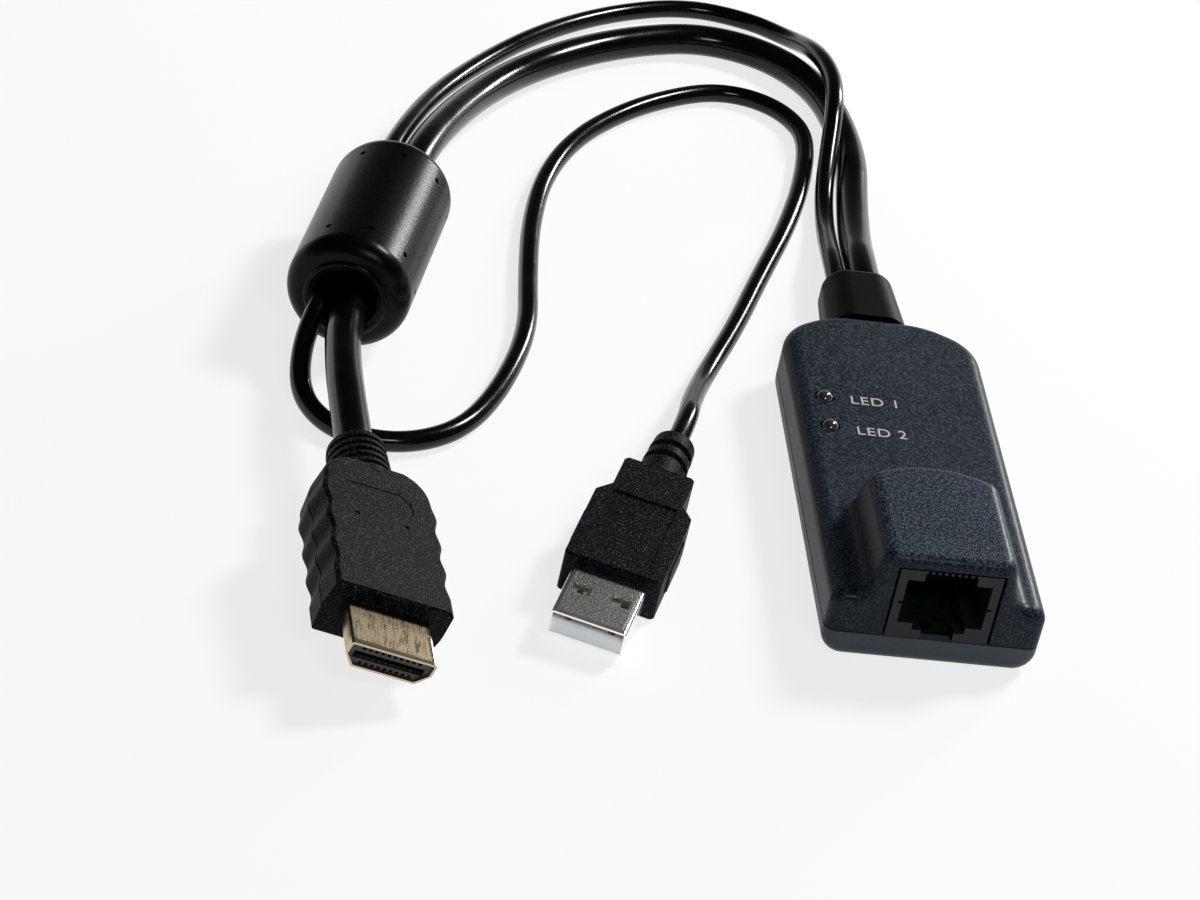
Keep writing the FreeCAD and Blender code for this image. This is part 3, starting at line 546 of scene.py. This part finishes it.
@dataclass(frozen=True)
class SmokedLens:
    """A lens that looks dark over its unlit chip, with a clear glossy skin."""

    name: str
    colour: Colour
    haze: Colour
    cloud_size: float = 0.0008
    roughness: float = 0.12
    spread: float = 0.1
    ior: float = 1.55
    coat: float = 0.8
    coat_spread: float = 0.2
    coat_roughness: float = 0.1

    def make(self) -> bpy.types.Material:
        """Build the material.

        Returns:
            The finished material.
        """
        recipe = Recipe(self.name)
        cloud = recipe.noise(self.cloud_size, detail=3.0, rough=0.5)
        recipe.set(
            Base_Color=recipe.blend(cloud, self.colour, self.haze),
            Roughness=cloud * self.spread + self.roughness,
            IOR=self.ior,
            Coat_Weight=cloud * self.coat_spread + self.coat,
            Coat_Roughness=self.coat_roughness,
        )
        return recipe.material


Finish = Union[Moulding, Plating, Jacket, Laminate, SmokedLens]

FINISHES: dict[str, Finish] = {
    finish.name: finish
    for finish in (
        # case_plastic's flecks thicken above 18.5 mm: a painted sheen on the hood top.
        Moulding(
            "case_plastic", colour=(0.005, 0.008, 0.0135), fleck=(0.093, 0.127, 0.172),
            fleck_share=0.5, roughness=0.45, grain=0.00042, depth=0.0001, specular=0.07,
            sparse=0.47, painted_sheen_top=0.0185, painted_sheen_top_share=0.5, coat=0.13,
        ),
        Moulding(
            "case_base_plastic", colour=(0.08, 0.092, 0.108), fleck=(0.12, 0.135, 0.155),
            fleck_share=0.3, roughness=0.42, grain=0.0005, depth=0.000015, specular=0.22,
        ),
        Plating("screw_steel", colour=(0.6, 0.6, 0.61), dark_patch_and_painted_reflection=(0.4, 0.4, 0.41)),
        # The board's solder mask and copper are darkened far below their own green: painted shade for
        # the board deep inside the case.
        Laminate("board_laminate", colour=(0.0006, 0.005, 0.0018), copper=(0.003, 0.02, 0.007)),
        Moulding(
            "jack_plastic", colour=(0.011, 0.0125, 0.014), fleck=(0.03, 0.032, 0.035),
            fleck_share=0.3, roughness=0.4, grain=0.0004, specular=0.25,
        ),
        Plating("contact_gold", colour=(0.9, 0.66, 0.28), dark_patch_and_painted_reflection=(0.7, 0.46, 0.16), roughness=0.22),
        SmokedLens("lamp_clear", colour=(0.012, 0.013, 0.015), haze=(0.05, 0.053, 0.057)),
        Moulding(
            "chip_resin", colour=(0.018, 0.018, 0.02), fleck=(0.04, 0.04, 0.044), fleck_share=0.3,
            roughness=0.55,
        ),
        Plating("can_metal", colour=(0.7, 0.7, 0.72), dark_patch_and_painted_reflection=(0.5, 0.5, 0.52), roughness=0.28),
        Moulding(
            "header_plastic", colour=(0.72, 0.69, 0.62), fleck=(0.8, 0.78, 0.72), fleck_share=0.2,
            roughness=0.4,
        ),
        Moulding(
            "wire_insulation", colour=(0.3, 0.05, 0.04), fleck=(0.4, 0.1, 0.08), fleck_share=0.2,
            roughness=0.35,
        ),
        Moulding(
            "boot_rubber", colour=(0.0009, 0.0009, 0.0012), fleck=(0.006, 0.006, 0.0075),
            fleck_share=0.3, roughness=0.42, grain=0.0006, depth=0.00003, specular=0.07,
        ),
        Jacket(
            "cable_jacket", colour=(0.0006, 0.0006, 0.0008), fleck=(0.002, 0.002, 0.0024),
            roughness=0.17,
        ),
        Moulding(
            "ferrite_cover", colour=(0.0007, 0.0007, 0.001), fleck=(0.004, 0.004, 0.005),
            fleck_share=0.25, roughness=0.27, grain=0.0005, depth=0.000014, specular=0.11,
        ),
        Moulding(
            "ferrite_ceramic", colour=(0.07, 0.07, 0.075), fleck=(0.11, 0.11, 0.115),
            fleck_share=0.4, roughness=0.6,
        ),
        Moulding(
            "grip_plastic", colour=(0.001, 0.0012, 0.0017), fleck=(0.172, 0.202, 0.252),
            fleck_share=0.5, roughness=0.5, grain=0.00034, depth=0.0001, specular=0.045,
            sparse=0.55, coat=0.03,
        ),
        # On both shells below, the dark tone is painted reflection: dark streaks drawn out along the
        # gold, dark speckle between bright dots on the nickel.
        Plating(
            "gold_shell", colour=(0.55, 0.445, 0.285), dark_patch_and_painted_reflection=(0.1, 0.078, 0.045), roughness=0.24,
            spread=0.2, mottle=0.0011, grain=0.0004, depth=0.000003, contrast=0.24, draw=6.0,
            heading=math.radians(VIDEO_SEAT.turn[0]), seat=VIDEO_SEAT, half=0.0066,
        ),
        Plating(
            "nickel_shell", colour=(0.97, 0.95, 0.91), dark_patch_and_painted_reflection=(0.13, 0.125, 0.115), roughness=0.3,
            spread=0.18, mottle=0.00045, grain=0.0003, depth=0.00006, contrast=0.12, seat=DATA_SEAT,
            half=0.0056,
        ),
        Moulding(
            "insert_plastic", colour=(0.02, 0.022, 0.025), fleck=(0.05, 0.053, 0.058),
            fleck_share=0.2, roughness=0.4,
        ),
        # tongue_plastic glows near the plug's front: painted light on the tongue's front face.
        Moulding(
            "tongue_plastic", colour=(0.85, 0.92, 0.94), fleck=(0.93, 0.97, 0.98), fleck_share=0.3,
            roughness=0.35, glow=0.25,
        ),
    )
}


@dataclass
class Wardrobe:
    """Every finish made once and handed to the CAD nodes by their slots."""

    made: dict[str, bpy.types.Material] = field(default_factory=dict)

    def get(self, slot: str) -> bpy.types.Material:
        """Find a slot's material, made the first time it is asked for.

        Args:
            slot: The slot's name.

        Returns:
            The material.
        """
        if slot not in self.made:
            self.made[slot] = FINISHES[slot].make()
        return self.made[slot]

    def dress_nodes(self) -> None:
        """Give each CAD node the finish that its imported material's slot names."""
        for name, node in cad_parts.items():
            for place in node.material_slots:
                slot = place.material.name.split(".")[0]
                LOG.info("node %s: %s", name, slot)
                if slot in FINISHES:
                    place.material = self.get(slot)


@dataclass
class Cord:
    """A round cable on one smooth line, with its route in mm and its own sizes in metres."""

    name: str
    node: str
    route: list[Point]
    diameter: float
    length: float
    with_nodes: list[str]
    stiffness: Stiffness = Stiffness.MEDIUM
    order: int = 3
    steps: int = 12
    round_steps: int = 5

    def build(self) -> bpy.types.Object:
        """Lay the cable.

        Returns:
            The cable's curve object.
        """
        curve = bpy.data.curves.new(self.name, "CURVE")
        curve.dimensions = "3D"
        spline = curve.splines.new("NURBS")
        spline.points.add(len(self.route) - 1)
        for point, place in zip(spline.points, self.route):
            point.co = (*(value * MM for value in place), 1.0)
        spline.order_u = self.order
        spline.use_endpoint_u = True
        curve.resolution_u = self.steps
        curve.bevel_depth = self.diameter / 2
        curve.bevel_resolution = self.round_steps
        curve.use_fill_caps = True
        piece = bpy.data.objects.new(self.name, curve)
        bpy.context.scene.collection.objects.link(piece)
        LOG.info("cord %s laid through %d points", self.name, len(self.route))
        return piece

    def dress(self, piece: bpy.types.Object, wardrobe: Wardrobe) -> None:
        """Args:
            piece: The cable's object.
            wardrobe: Where the finish comes from.
        """
        piece.data.materials.append(wardrobe.get("cable_jacket"))
        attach(piece, BODY)
        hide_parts(self.node)
        tuple(value * MM for value in self.route[0])


BEAD_DIRECTION = Vector((0.2314, 0.9729, 0.0))
BEAD_FRONT = Vector((-91.0, 21.6, 10.5))
BEAD_SEAT = Seat((-90.95, 21.8, 10.5), (-13.38, 0.0, 0.0))


def in_bead(distance: float, sideways: float, rise: float) -> Point:
    """Return a point in the bead's bore, in mm: along it, across it and above its middle."""
    right = BEAD_DIRECTION.cross(Vector((0.0, 0.0, 1.0)))
    level = BEAD_FRONT + BEAD_DIRECTION * distance + right * sideways
    return tuple(level + Vector((0.0, 0.0, rise)))


VIDEO_ROUTE: list[Point] = [
    (1.4, 48.0, 6.3), (1.4, 57.0, 6.3), (2.2, 68.0, 4.3), (3.8, 83.0, 3.1), (5.9, 100.0, 3.1),
    (4.4, 118.0, 3.1), (0.6, 129.5, 3.1), (-7.5, 138.0, 3.1), (-19.5, 141.2, 3.1),
    (-31.5, 137.4, 3.1), (-43.8, 130.2, 3.1), (-55.2, 119.6, 3.5), (-64.2, 105.8, 5.3),
    (-71.0, 90.5, 8.0), (-76.4, 75.5, 10.2), in_bead(44.0, 1.3, -0.2), in_bead(19.0, 1.45, -0.3),
    in_bead(-5.5, 1.0, 0.1), (-91.5, 2.0, 11.1), VIDEO_SEAT.point(0.0, 60.9, 0.0),
    VIDEO_SEAT.point(0.0, 48.4, 0.0),
]
DATA_ROUTE: list[Point] = [
    (-3.55, 48.0, 6.3), (-3.55, 56.5, 6.3), (-2.9, 66.0, 4.4), (-1.9, 76.5, 2.2), (-0.8, 88.0, 2.4),
    (0.8, 98.0, 5.0), (2.6, 109.5, 9.5), (3.2, 121.0, 9.8), (1.4, 132.0, 8.4), (-1.2, 143.8, 3.8),
    (-8.6, 153.2, 2.0), (-21.5, 156.0, 1.85), (-37.4, 149.0, 1.85), (-52.0, 136.0, 2.6),
    (-64.0, 119.4, 3.8), (-73.9, 99.8, 6.8), (-80.6, 79.2, 10.2), in_bead(44.5, -3.6, 0.3),
    in_bead(28.0, -3.52, 0.5), in_bead(12.0, -3.5, 0.55), in_bead(-3.0, -3.6, 0.4),
    (-97.6, 12.6, 6.0), (-97.4, 5.0, 2.3), (-93.4, -2.4, 1.85), (-85.8, -6.1, 1.85),
    (-77.4, -4.7, 1.85), (-69.8, 1.3, 1.85), (-63.4, 14.4, 1.85), (-58.6, 31.5, 1.85),
    (-57.9, 48.5, 1.85), (-56.6, 66.0, 1.85), (-53.4, 83.0, 1.85), (-46.6, 98.8, 1.85),
    (-35.6, 111.8, 1.85), (-24.5, 119.8, 1.85), (-17.0, 122.6, 1.85), (-9.6, 121.2, 1.85),
    (-4.2, 116.2, 1.85), (-1.6, 108.2, 1.85), (-4.2, 92.0, 1.85), (-9.4, 74.0, 1.85),
    (-16.2, 56.0, 1.85), (-22.2, 39.0, 1.85), (-29.2, 22.0, 2.4), (-33.0, 9.5, 5.6),
    DATA_SEAT.point(0.0, 57.5, 0.0), DATA_SEAT.point(0.0, 49.5, 0.0),
]
VIDEO_PIECES = [
    "ferrite_core", "ferrite_jacket", "video_plug_body", "video_plug_shell", "video_plug_insert",
    "video_plug_contacts",
]
DATA_PIECES = ["data_plug_body", "data_plug_shell", "data_plug_tongue", "data_plug_contacts"]


class Parts(Tree):
    """A Geometry Nodes tree with named inputs."""

    def entry(self, name: str, value: float | int) -> None:
        """Add a named input with its usual value."""
        kind = "NodeSocketInt" if isinstance(value, int) else "NodeSocketFloat"
        self.tree.interface.new_socket(name, in_out="INPUT", socket_type=kind).default_value = value


@dataclass
class Grown:
    """A piece that a Geometry Nodes tree grows from named sizes."""

    name: str
    seat: Seat
    slot: str

    def sizes(self) -> dict[str, float | int]:
        """Return the tree's named inputs, lengths in metres."""
        raise NotImplementedError

    def wire(self, parts: Parts, inputs: bpy.types.NodeOutputs) -> bpy.types.NodeSocket:
        """Wire the tree's own nodes.

        Args:
            parts: Where nodes are added.
            inputs: The named inputs' sockets.

        Returns:
            The socket of the laid geometry.
        """
        raise NotImplementedError

    def grow(self, material: bpy.types.Material) -> bpy.types.NodeTree:
        """Build the tree, from its named inputs to Realize Instances and Set Material.

        Args:
            material: The piece's finish.

        Returns:
            The Geometry Nodes tree.
        """
        tree = bpy.data.node_groups.new(self.name, "GeometryNodeTree")
        for direction in ("INPUT", "OUTPUT"):
            tree.interface.new_socket("Geometry", in_out=direction, socket_type="NodeSocketGeometry")
        parts = Parts(tree)
        for name, value in self.sizes().items():
            parts.entry(name, value)
        laid = self.wire(parts, parts.node("NodeGroupInput").outputs)
        real = parts.node("GeometryNodeRealizeInstances", None, {"Geometry": laid})
        smooth = parts.node("GeometryNodeSetShadeSmooth", None, {"Geometry": real.outputs[0]})
        done = parts.node(
            "GeometryNodeSetMaterial", None, {"Geometry": smooth.outputs[0], "Material": material}
        )
        parts.node("NodeGroupOutput", None, {"Geometry": done.outputs[0]})
        return tree

    def build(self, wardrobe: Wardrobe) -> bpy.types.Object:
        """Grow the piece and settle it as a plain mesh.

        Args:
            wardrobe: Where the finish comes from.

        Returns:
            The piece's object.
        """
        piece = bpy.data.objects.new(self.name, bpy.data.meshes.new(self.name))
        bpy.context.scene.collection.objects.link(piece)
        modifier = piece.modifiers.new(self.name, "NODES")
        modifier.node_group = self.grow(wardrobe.get(self.slot))
        sizes = self.sizes()
        for item in modifier.node_group.interface.items_tree:
            if item.in_out == "INPUT" and item.name in sizes:
                modifier[item.identifier] = sizes[item.name]
        graph = bpy.context.evaluated_depsgraph_get()
        settled = bpy.data.meshes.new_from_object(piece.evaluated_get(graph))
        piece.modifiers.remove(modifier)
        settled.transform(self.seat.matrix())
        shape = bmesh.new()
        shape.from_mesh(settled)
        bmesh.ops.recalc_face_normals(shape, faces=shape.faces)
        volume = shape.calc_volume(signed=True) / MM**3
        LOG.info("%s: %d faces, %.2f mm3", self.name, len(shape.faces), volume)
        shape.to_mesh(settled)
        shape.free()
        piece.data = settled
        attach(piece, BODY)
        return piece


@dataclass
class ReliefBars(Grown):
    """The bars that bridge a strain relief's ring slots on both sides."""

    first: float = 0.0
    pitch: float = 1.0
    count: int = 1
    reach: float = 4.0
    across: float = 0.75
    width: float = 1.5
    depth: float = 1.1
    rows: int = 4

    def sizes(self) -> dict[str, float | int]:
        """Return the tree's named inputs, lengths in metres."""
        return {
            "Count": self.count,
            "First": self.first * MM,
            "Pitch": self.pitch * MM,
            "Reach": self.reach * MM,
            "Width": self.width * MM,
            "Depth": self.depth * MM,
            "Across": self.across * MM,
        }

    def wire(self, parts: Parts, inputs: bpy.types.NodeOutputs) -> bpy.types.NodeSocket:
        """Stand a bar on each side at every slot.

        Args:
            parts: Where nodes are added.
            inputs: The named inputs' sockets.

        Returns:
            The socket of the laid bars.
        """
        start = parts.node("ShaderNodeCombineXYZ", None, {"Y": inputs["First"]})
        step = parts.node("ShaderNodeCombineXYZ", None, {"Y": inputs["Pitch"]})
        line = parts.node(
            "GeometryNodeMeshLine",
            {"mode": "OFFSET"},
            {"Count": inputs["Count"], "Start Location": start.outputs[0], "Offset": step.outputs[0]},
        )
        size = parts.node(
            "ShaderNodeCombineXYZ",
            None,
            {"X": inputs["Depth"], "Y": inputs["Across"], "Z": inputs["Width"]},
        )
        bar = parts.node(
            "GeometryNodeMeshCube", None, {"Size": size.outputs[0], "Vertices Z": self.rows}
        )
        pair = parts.node("GeometryNodeJoinGeometry")
        for side in (1.0, -1.0):
            reach = parts.node(
                "ShaderNodeMath", {"operation": "MULTIPLY"}, {0: inputs["Reach"], 1: side}
            )
            place = parts.node("ShaderNodeCombineXYZ", None, {"X": reach.outputs[0]})
            stood = parts.node(
                "GeometryNodeTransform",
                None,
                {"Geometry": bar.outputs["Mesh"], "Translation": place.outputs[0]},
            )
            parts.feed(pair.inputs[0], stood.outputs[0])
        laid = parts.node(
            "GeometryNodeInstanceOnPoints",
            None,
            {"Points": line.outputs[0], "Instance": pair.outputs[0]},
        )
        return laid.outputs[0]


@dataclass
class BeadLips(Grown):
    """The rolled lips round both mouths of the ferrite bead."""

    ring: float = 6.4
    lip: float = 0.8
    apart: float = 38.0
    ends: int = 2
    ring_steps: int = 72
    lip_steps: int = 16

    def sizes(self) -> dict[str, float | int]:
        """Return the tree's named inputs, lengths in metres."""
        return {
            "Ring": self.ring * MM,
            "Lip": self.lip * MM,
            "Apart": self.apart * MM,
            "Ends": self.ends,
        }

    def wire(self, parts: Parts, inputs: bpy.types.NodeOutputs) -> bpy.types.NodeSocket:
        """Sweep a round lip round each mouth.

        Args:
            parts: Where nodes are added.
            inputs: The named inputs' sockets.

        Returns:
            The socket of the laid rings.
        """
        ring = parts.node(
            "GeometryNodeCurvePrimitiveCircle",
            None,
            {"Resolution": self.ring_steps, "Radius": inputs["Ring"]},
        )
        section = parts.node(
            "GeometryNodeCurvePrimitiveCircle",
            None,
            {"Resolution": self.lip_steps, "Radius": inputs["Lip"]},
        )
        swept = parts.node(
            "GeometryNodeCurveToMesh",
            None,
            {"Curve": ring.outputs[0], "Profile Curve": section.outputs[0]},
        )
        apart = parts.node("ShaderNodeCombineXYZ", None, {"Y": inputs["Apart"]})
        mouths = parts.node(
            "GeometryNodeMeshLine",
            {"mode": "OFFSET"},
            {"Count": inputs["Ends"], "Offset": apart.outputs[0]},
        )
        laid = parts.node(
            "GeometryNodeInstanceOnPoints",
            None,
            {
                "Points": mouths.outputs[0],
                "Instance": swept.outputs[0],
                "Rotation": (math.pi / 2, 0.0, 0.0),
            },
        )
        return laid.outputs[0]


@dataclass
class Marks:
    """Plain numbered marks beside the two lamps."""

    name: str = "lamp_marks"
    words: tuple[str, str] = ("LED 1", "LED 2")
    left: float = -8.0
    baselines: tuple[float, float] = (4.3, -4.5)
    cap_height: float = 2.2
    plate: float = 12.0
    thickness: float = 0.03
    cap_share: float = 0.69
    spacing: float = 1.08
    ink: Colour = (0.62, 0.6, 0.56)
    worn: Colour = (0.42, 0.41, 0.39)
    wear_size: float = 0.0004
    roughness: float = 0.45
    spread: float = 0.2

    def build(self) -> bpy.types.Object:
        """Print the marks.

        Returns:
            One mesh of both marks.
        """
        parts = []
        for word, baseline in zip(self.words, self.baselines):
            text = bpy.data.curves.new(self.name, "FONT")
            text.body = word
            text.size = self.cap_height * MM / self.cap_share
            text.extrude = self.thickness * MM / 2
            text.space_character = self.spacing
            holder = bpy.data.objects.new(self.name, text)
            bpy.context.scene.collection.objects.link(holder)
            holder.location = Vector((self.left, baseline, self.plate + self.thickness / 2)) * MM
            bpy.context.view_layer.update()
            mesh = bpy.data.meshes.new_from_object(holder)
            mesh.transform(holder.matrix_world)
            bpy.data.objects.remove(holder)
            parts.append(mesh)
        joined = join_meshes(self.name, parts)
        LOG.info("marks printed: %d faces", len(joined.data.polygons))
        return joined

    def dress(self, piece: bpy.types.Object) -> None:
        """Give the marks their ink.

        Args:
            piece: The marks' object.
        """
        recipe = Recipe("mark_ink")
        wear = recipe.noise(self.wear_size, detail=3.0, rough=0.6)
        recipe.set(
            Base_Color=recipe.blend(wear, self.ink, self.worn),
            Roughness=wear * self.spread + self.roughness,
        )
        piece.data.materials.clear()
        piece.data.materials.append(recipe.material)
        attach(piece, BODY)


def join_meshes(name: str, meshes: Sequence[bpy.types.Mesh]) -> bpy.types.Object:
    """Join meshes into one object at the origin.

    Args:
        name: The new object's name.
        meshes: The meshes, already in place.

    Returns:
        The joined object.
    """
    vertices: list[Vector] = []
    faces: list[list[int]] = []
    for mesh in meshes:
        start = len(vertices)
        vertices.extend(vertex.co.copy() for vertex in mesh.vertices)
        faces.extend([start + index for index in face.vertices] for face in mesh.polygons)
    joined = bpy.data.meshes.new(name)
    joined.from_pydata(vertices, [], faces)
    piece = bpy.data.objects.new(name, joined)
    bpy.context.scene.collection.objects.link(piece)
    return piece


@dataclass(frozen=True)
class Lamp:
    """A soft rectangular lamp: its place and size in metres, and its power in watts."""

    name: str
    at: Point
    size: tuple[float, float]
    power: float

    def build(self, aim: Point) -> None:
        """Hang the lamp.

        Args:
            aim: The point that it faces.
        """
        light = bpy.data.lights.new(self.name, "AREA")
        light.shape = "RECTANGLE"
        light.size, light.size_y = self.size
        light.energy = self.power
        lamp = bpy.data.objects.new(self.name, light)
        lamp.location = self.at
        lamp.rotation_euler = (Vector(aim) - Vector(self.at)).to_track_quat("-Z", "Y").to_euler()
        bpy.context.scene.collection.objects.link(lamp)


@dataclass
class Studio:
    """A plain pale floor, soft lamps and the camera, with lengths in metres."""

    floor_half: float = 4.0
    floor_white: float = 0.78
    floor_bounce: float = 0.5
    paper_patch: float = 0.3
    paper_spread: float = 0.02
    paper_tone: float = 0.96
    paper_roughness: float = 0.8
    ceiling_level: float = 0.04
    horizon_level: float = 0.22
    horizon_low: float = 0.12
    horizon_top: float = 0.42
    white_low: float = 0.09
    white_top: float = 0.18
    room_colour: Colour = (0.95, 0.975, 1.0)
    aim: Point = (-0.03, 0.03, 0.0)
    lamps: tuple[Lamp, ...] = (
        Lamp("key_lamp", (0.55, 0.45, 0.75), (0.2, 0.2), 9.5),
        Lamp("side_lamp", (0.65, 0.81, 0.32), (0.12, 0.3), 3.6),
        Lamp("front_lamp", (0.1, -0.75, 0.8), (0.3, 0.15), 2.2),
    )
    sensor: float = 36.0
    lens: float = 106.35
    camera_at: Point = (-0.13339, -0.46974, 0.32522)
    camera_right: Point = (0.9837, -0.0622, 0.1687)
    camera_forward: Point = (0.1479, 0.8136, -0.5623)

    def build_floor(self) -> None:
        """Lay the floor."""
        half = self.floor_half
        mesh = bpy.data.meshes.new("floor")
        corners = [(-half, -half, 0), (half, -half, 0), (half, half, 0), (-half, half, 0)]
        mesh.from_pydata(corners, [], [(0, 1, 2, 3)])
        floor = bpy.data.objects.new("floor", mesh)
        bpy.context.scene.collection.objects.link(floor)
        recipe = Recipe("floor_paper")
        seen = recipe.rays("Is Camera Ray", "Is Glossy Ray", "Is Transmission Ray")
        tone = recipe.noise(self.paper_patch, detail=2.0) * self.paper_spread + self.paper_tone
        bright = seen * (1.0 - self.floor_bounce) + self.floor_bounce
        colour = recipe.blend(tone * bright, BLACK, WHITE)
        recipe.set(Base_Color=colour, Roughness=self.paper_roughness)
        glow = recipe.node("ShaderNodeEmission", None, {"Color": WHITE, "Strength": 1.0})
        mixed = recipe.node(
            "ShaderNodeMixShader",
            None,
            {0: seen * self.floor_white, 1: recipe.shader.outputs[0], 2: glow.outputs[0]},
        )
        recipe.feed(recipe.output.inputs["Surface"], mixed.outputs[0])
        mesh.materials.append(recipe.material)

    def build_world(self) -> None:
        """Light the room from a bright horizon under a dim ceiling, with a low white wall all round."""
        world = bpy.data.worlds.new("room")
        world.use_nodes = True
        bpy.context.scene.world = world
        tree = Tree(world.node_tree)
        direction = tree.node("ShaderNodeTexCoord").outputs["Generated"]
        parted = tree.node("ShaderNodeSeparateXYZ", None, {"Vector": direction})
        height = Field(tree, parted.outputs["Z"])
        horizon = height.ramp(self.horizon_top, self.horizon_low)
        level = horizon * (self.horizon_level - self.ceiling_level) + self.ceiling_level
        room = tree.node("ShaderNodeBackground", None, {"Color": self.room_colour, "Strength": level})
        white = tree.node("ShaderNodeBackground", None, {"Color": WHITE, "Strength": 1.0})
        seen = tree.rays("Is Camera Ray", "Is Glossy Ray", "Is Transmission Ray")
        wall = height.ramp(self.white_top, self.white_low) * seen
        mix = tree.node("ShaderNodeMixShader", None, {0: wall, 1: room.outputs[0], 2: white.outputs[0]})
        tree.node("ShaderNodeOutputWorld", None, {"Surface": mix.outputs[0]})

    def build_lamps(self) -> None:
        """Hang the soft lamps round the object."""
        for lamp in self.lamps:
            lamp.build(self.aim)

    def build_camera(self) -> None:
        """Stand the camera."""
        camera = bpy.data.cameras.new("camera")
        camera.sensor_width = self.sensor
        camera.lens = self.lens
        holder = bpy.data.objects.new("camera", camera)
        right = Vector(self.camera_right).normalized()
        forward = Vector(self.camera_forward).normalized()
        up = right.cross(forward).normalized()
        right = forward.cross(up)
        turn = Matrix((right, up, -forward)).transposed().to_4x4()
        holder.matrix_world = Matrix.Translation(self.camera_at) @ turn
        bpy.context.scene.collection.objects.link(holder)
        bpy.context.scene.camera = holder

    def build(self) -> None:
        """Set up the room."""
        bpy.context.scene.view_settings.view_transform = "Standard"
        self.build_floor()
        self.build_world()
        self.build_lamps()
        self.build_camera()
        LOG.info("studio set up")


def main() -> None:
    """Build the object's pieces in order."""
    logging.basicConfig(level=logging.INFO, format="%(name)s: %(message)s")
    Studio().build()
    wardrobe = Wardrobe()
    video_bars = ReliefBars(
        "video_relief_bars",
        VIDEO_SEAT,
        "grip_plastic",
        first=39.97,
        pitch=1.618,
        count=5,
        reach=4.05,
    )
    data_bars = ReliefBars(
        "data_relief_bars",
        DATA_SEAT,
        "grip_plastic",
        first=42.58,
        pitch=3.04,
        count=2,
        reach=3.0,
        across=1.3,
    )
    lips = BeadLips("ferrite_lips", BEAD_SEAT, "ferrite_cover")
    for piece in (video_bars, data_bars, lips):
        piece.build(wardrobe)
    cords = [
        Cord(
            "video_cord",
            "video_cable",
            VIDEO_ROUTE,
            diameter=0.006,
            length=0.2964,
            with_nodes=[*VIDEO_PIECES, video_bars.name, lips.name],
        ),
        Cord(
            "data_cord",
            "data_cable",
            DATA_ROUTE,
            diameter=0.0035,
            length=0.6198,
            with_nodes=[*DATA_PIECES, data_bars.name],
        ),
    ]
    for cord in cords:
        cord.dress(cord.build(), wardrobe)
    wardrobe.dress_nodes()
    marks = Marks()
    marks.dress(marks.build())


if __name__ == "__main__":
    main()
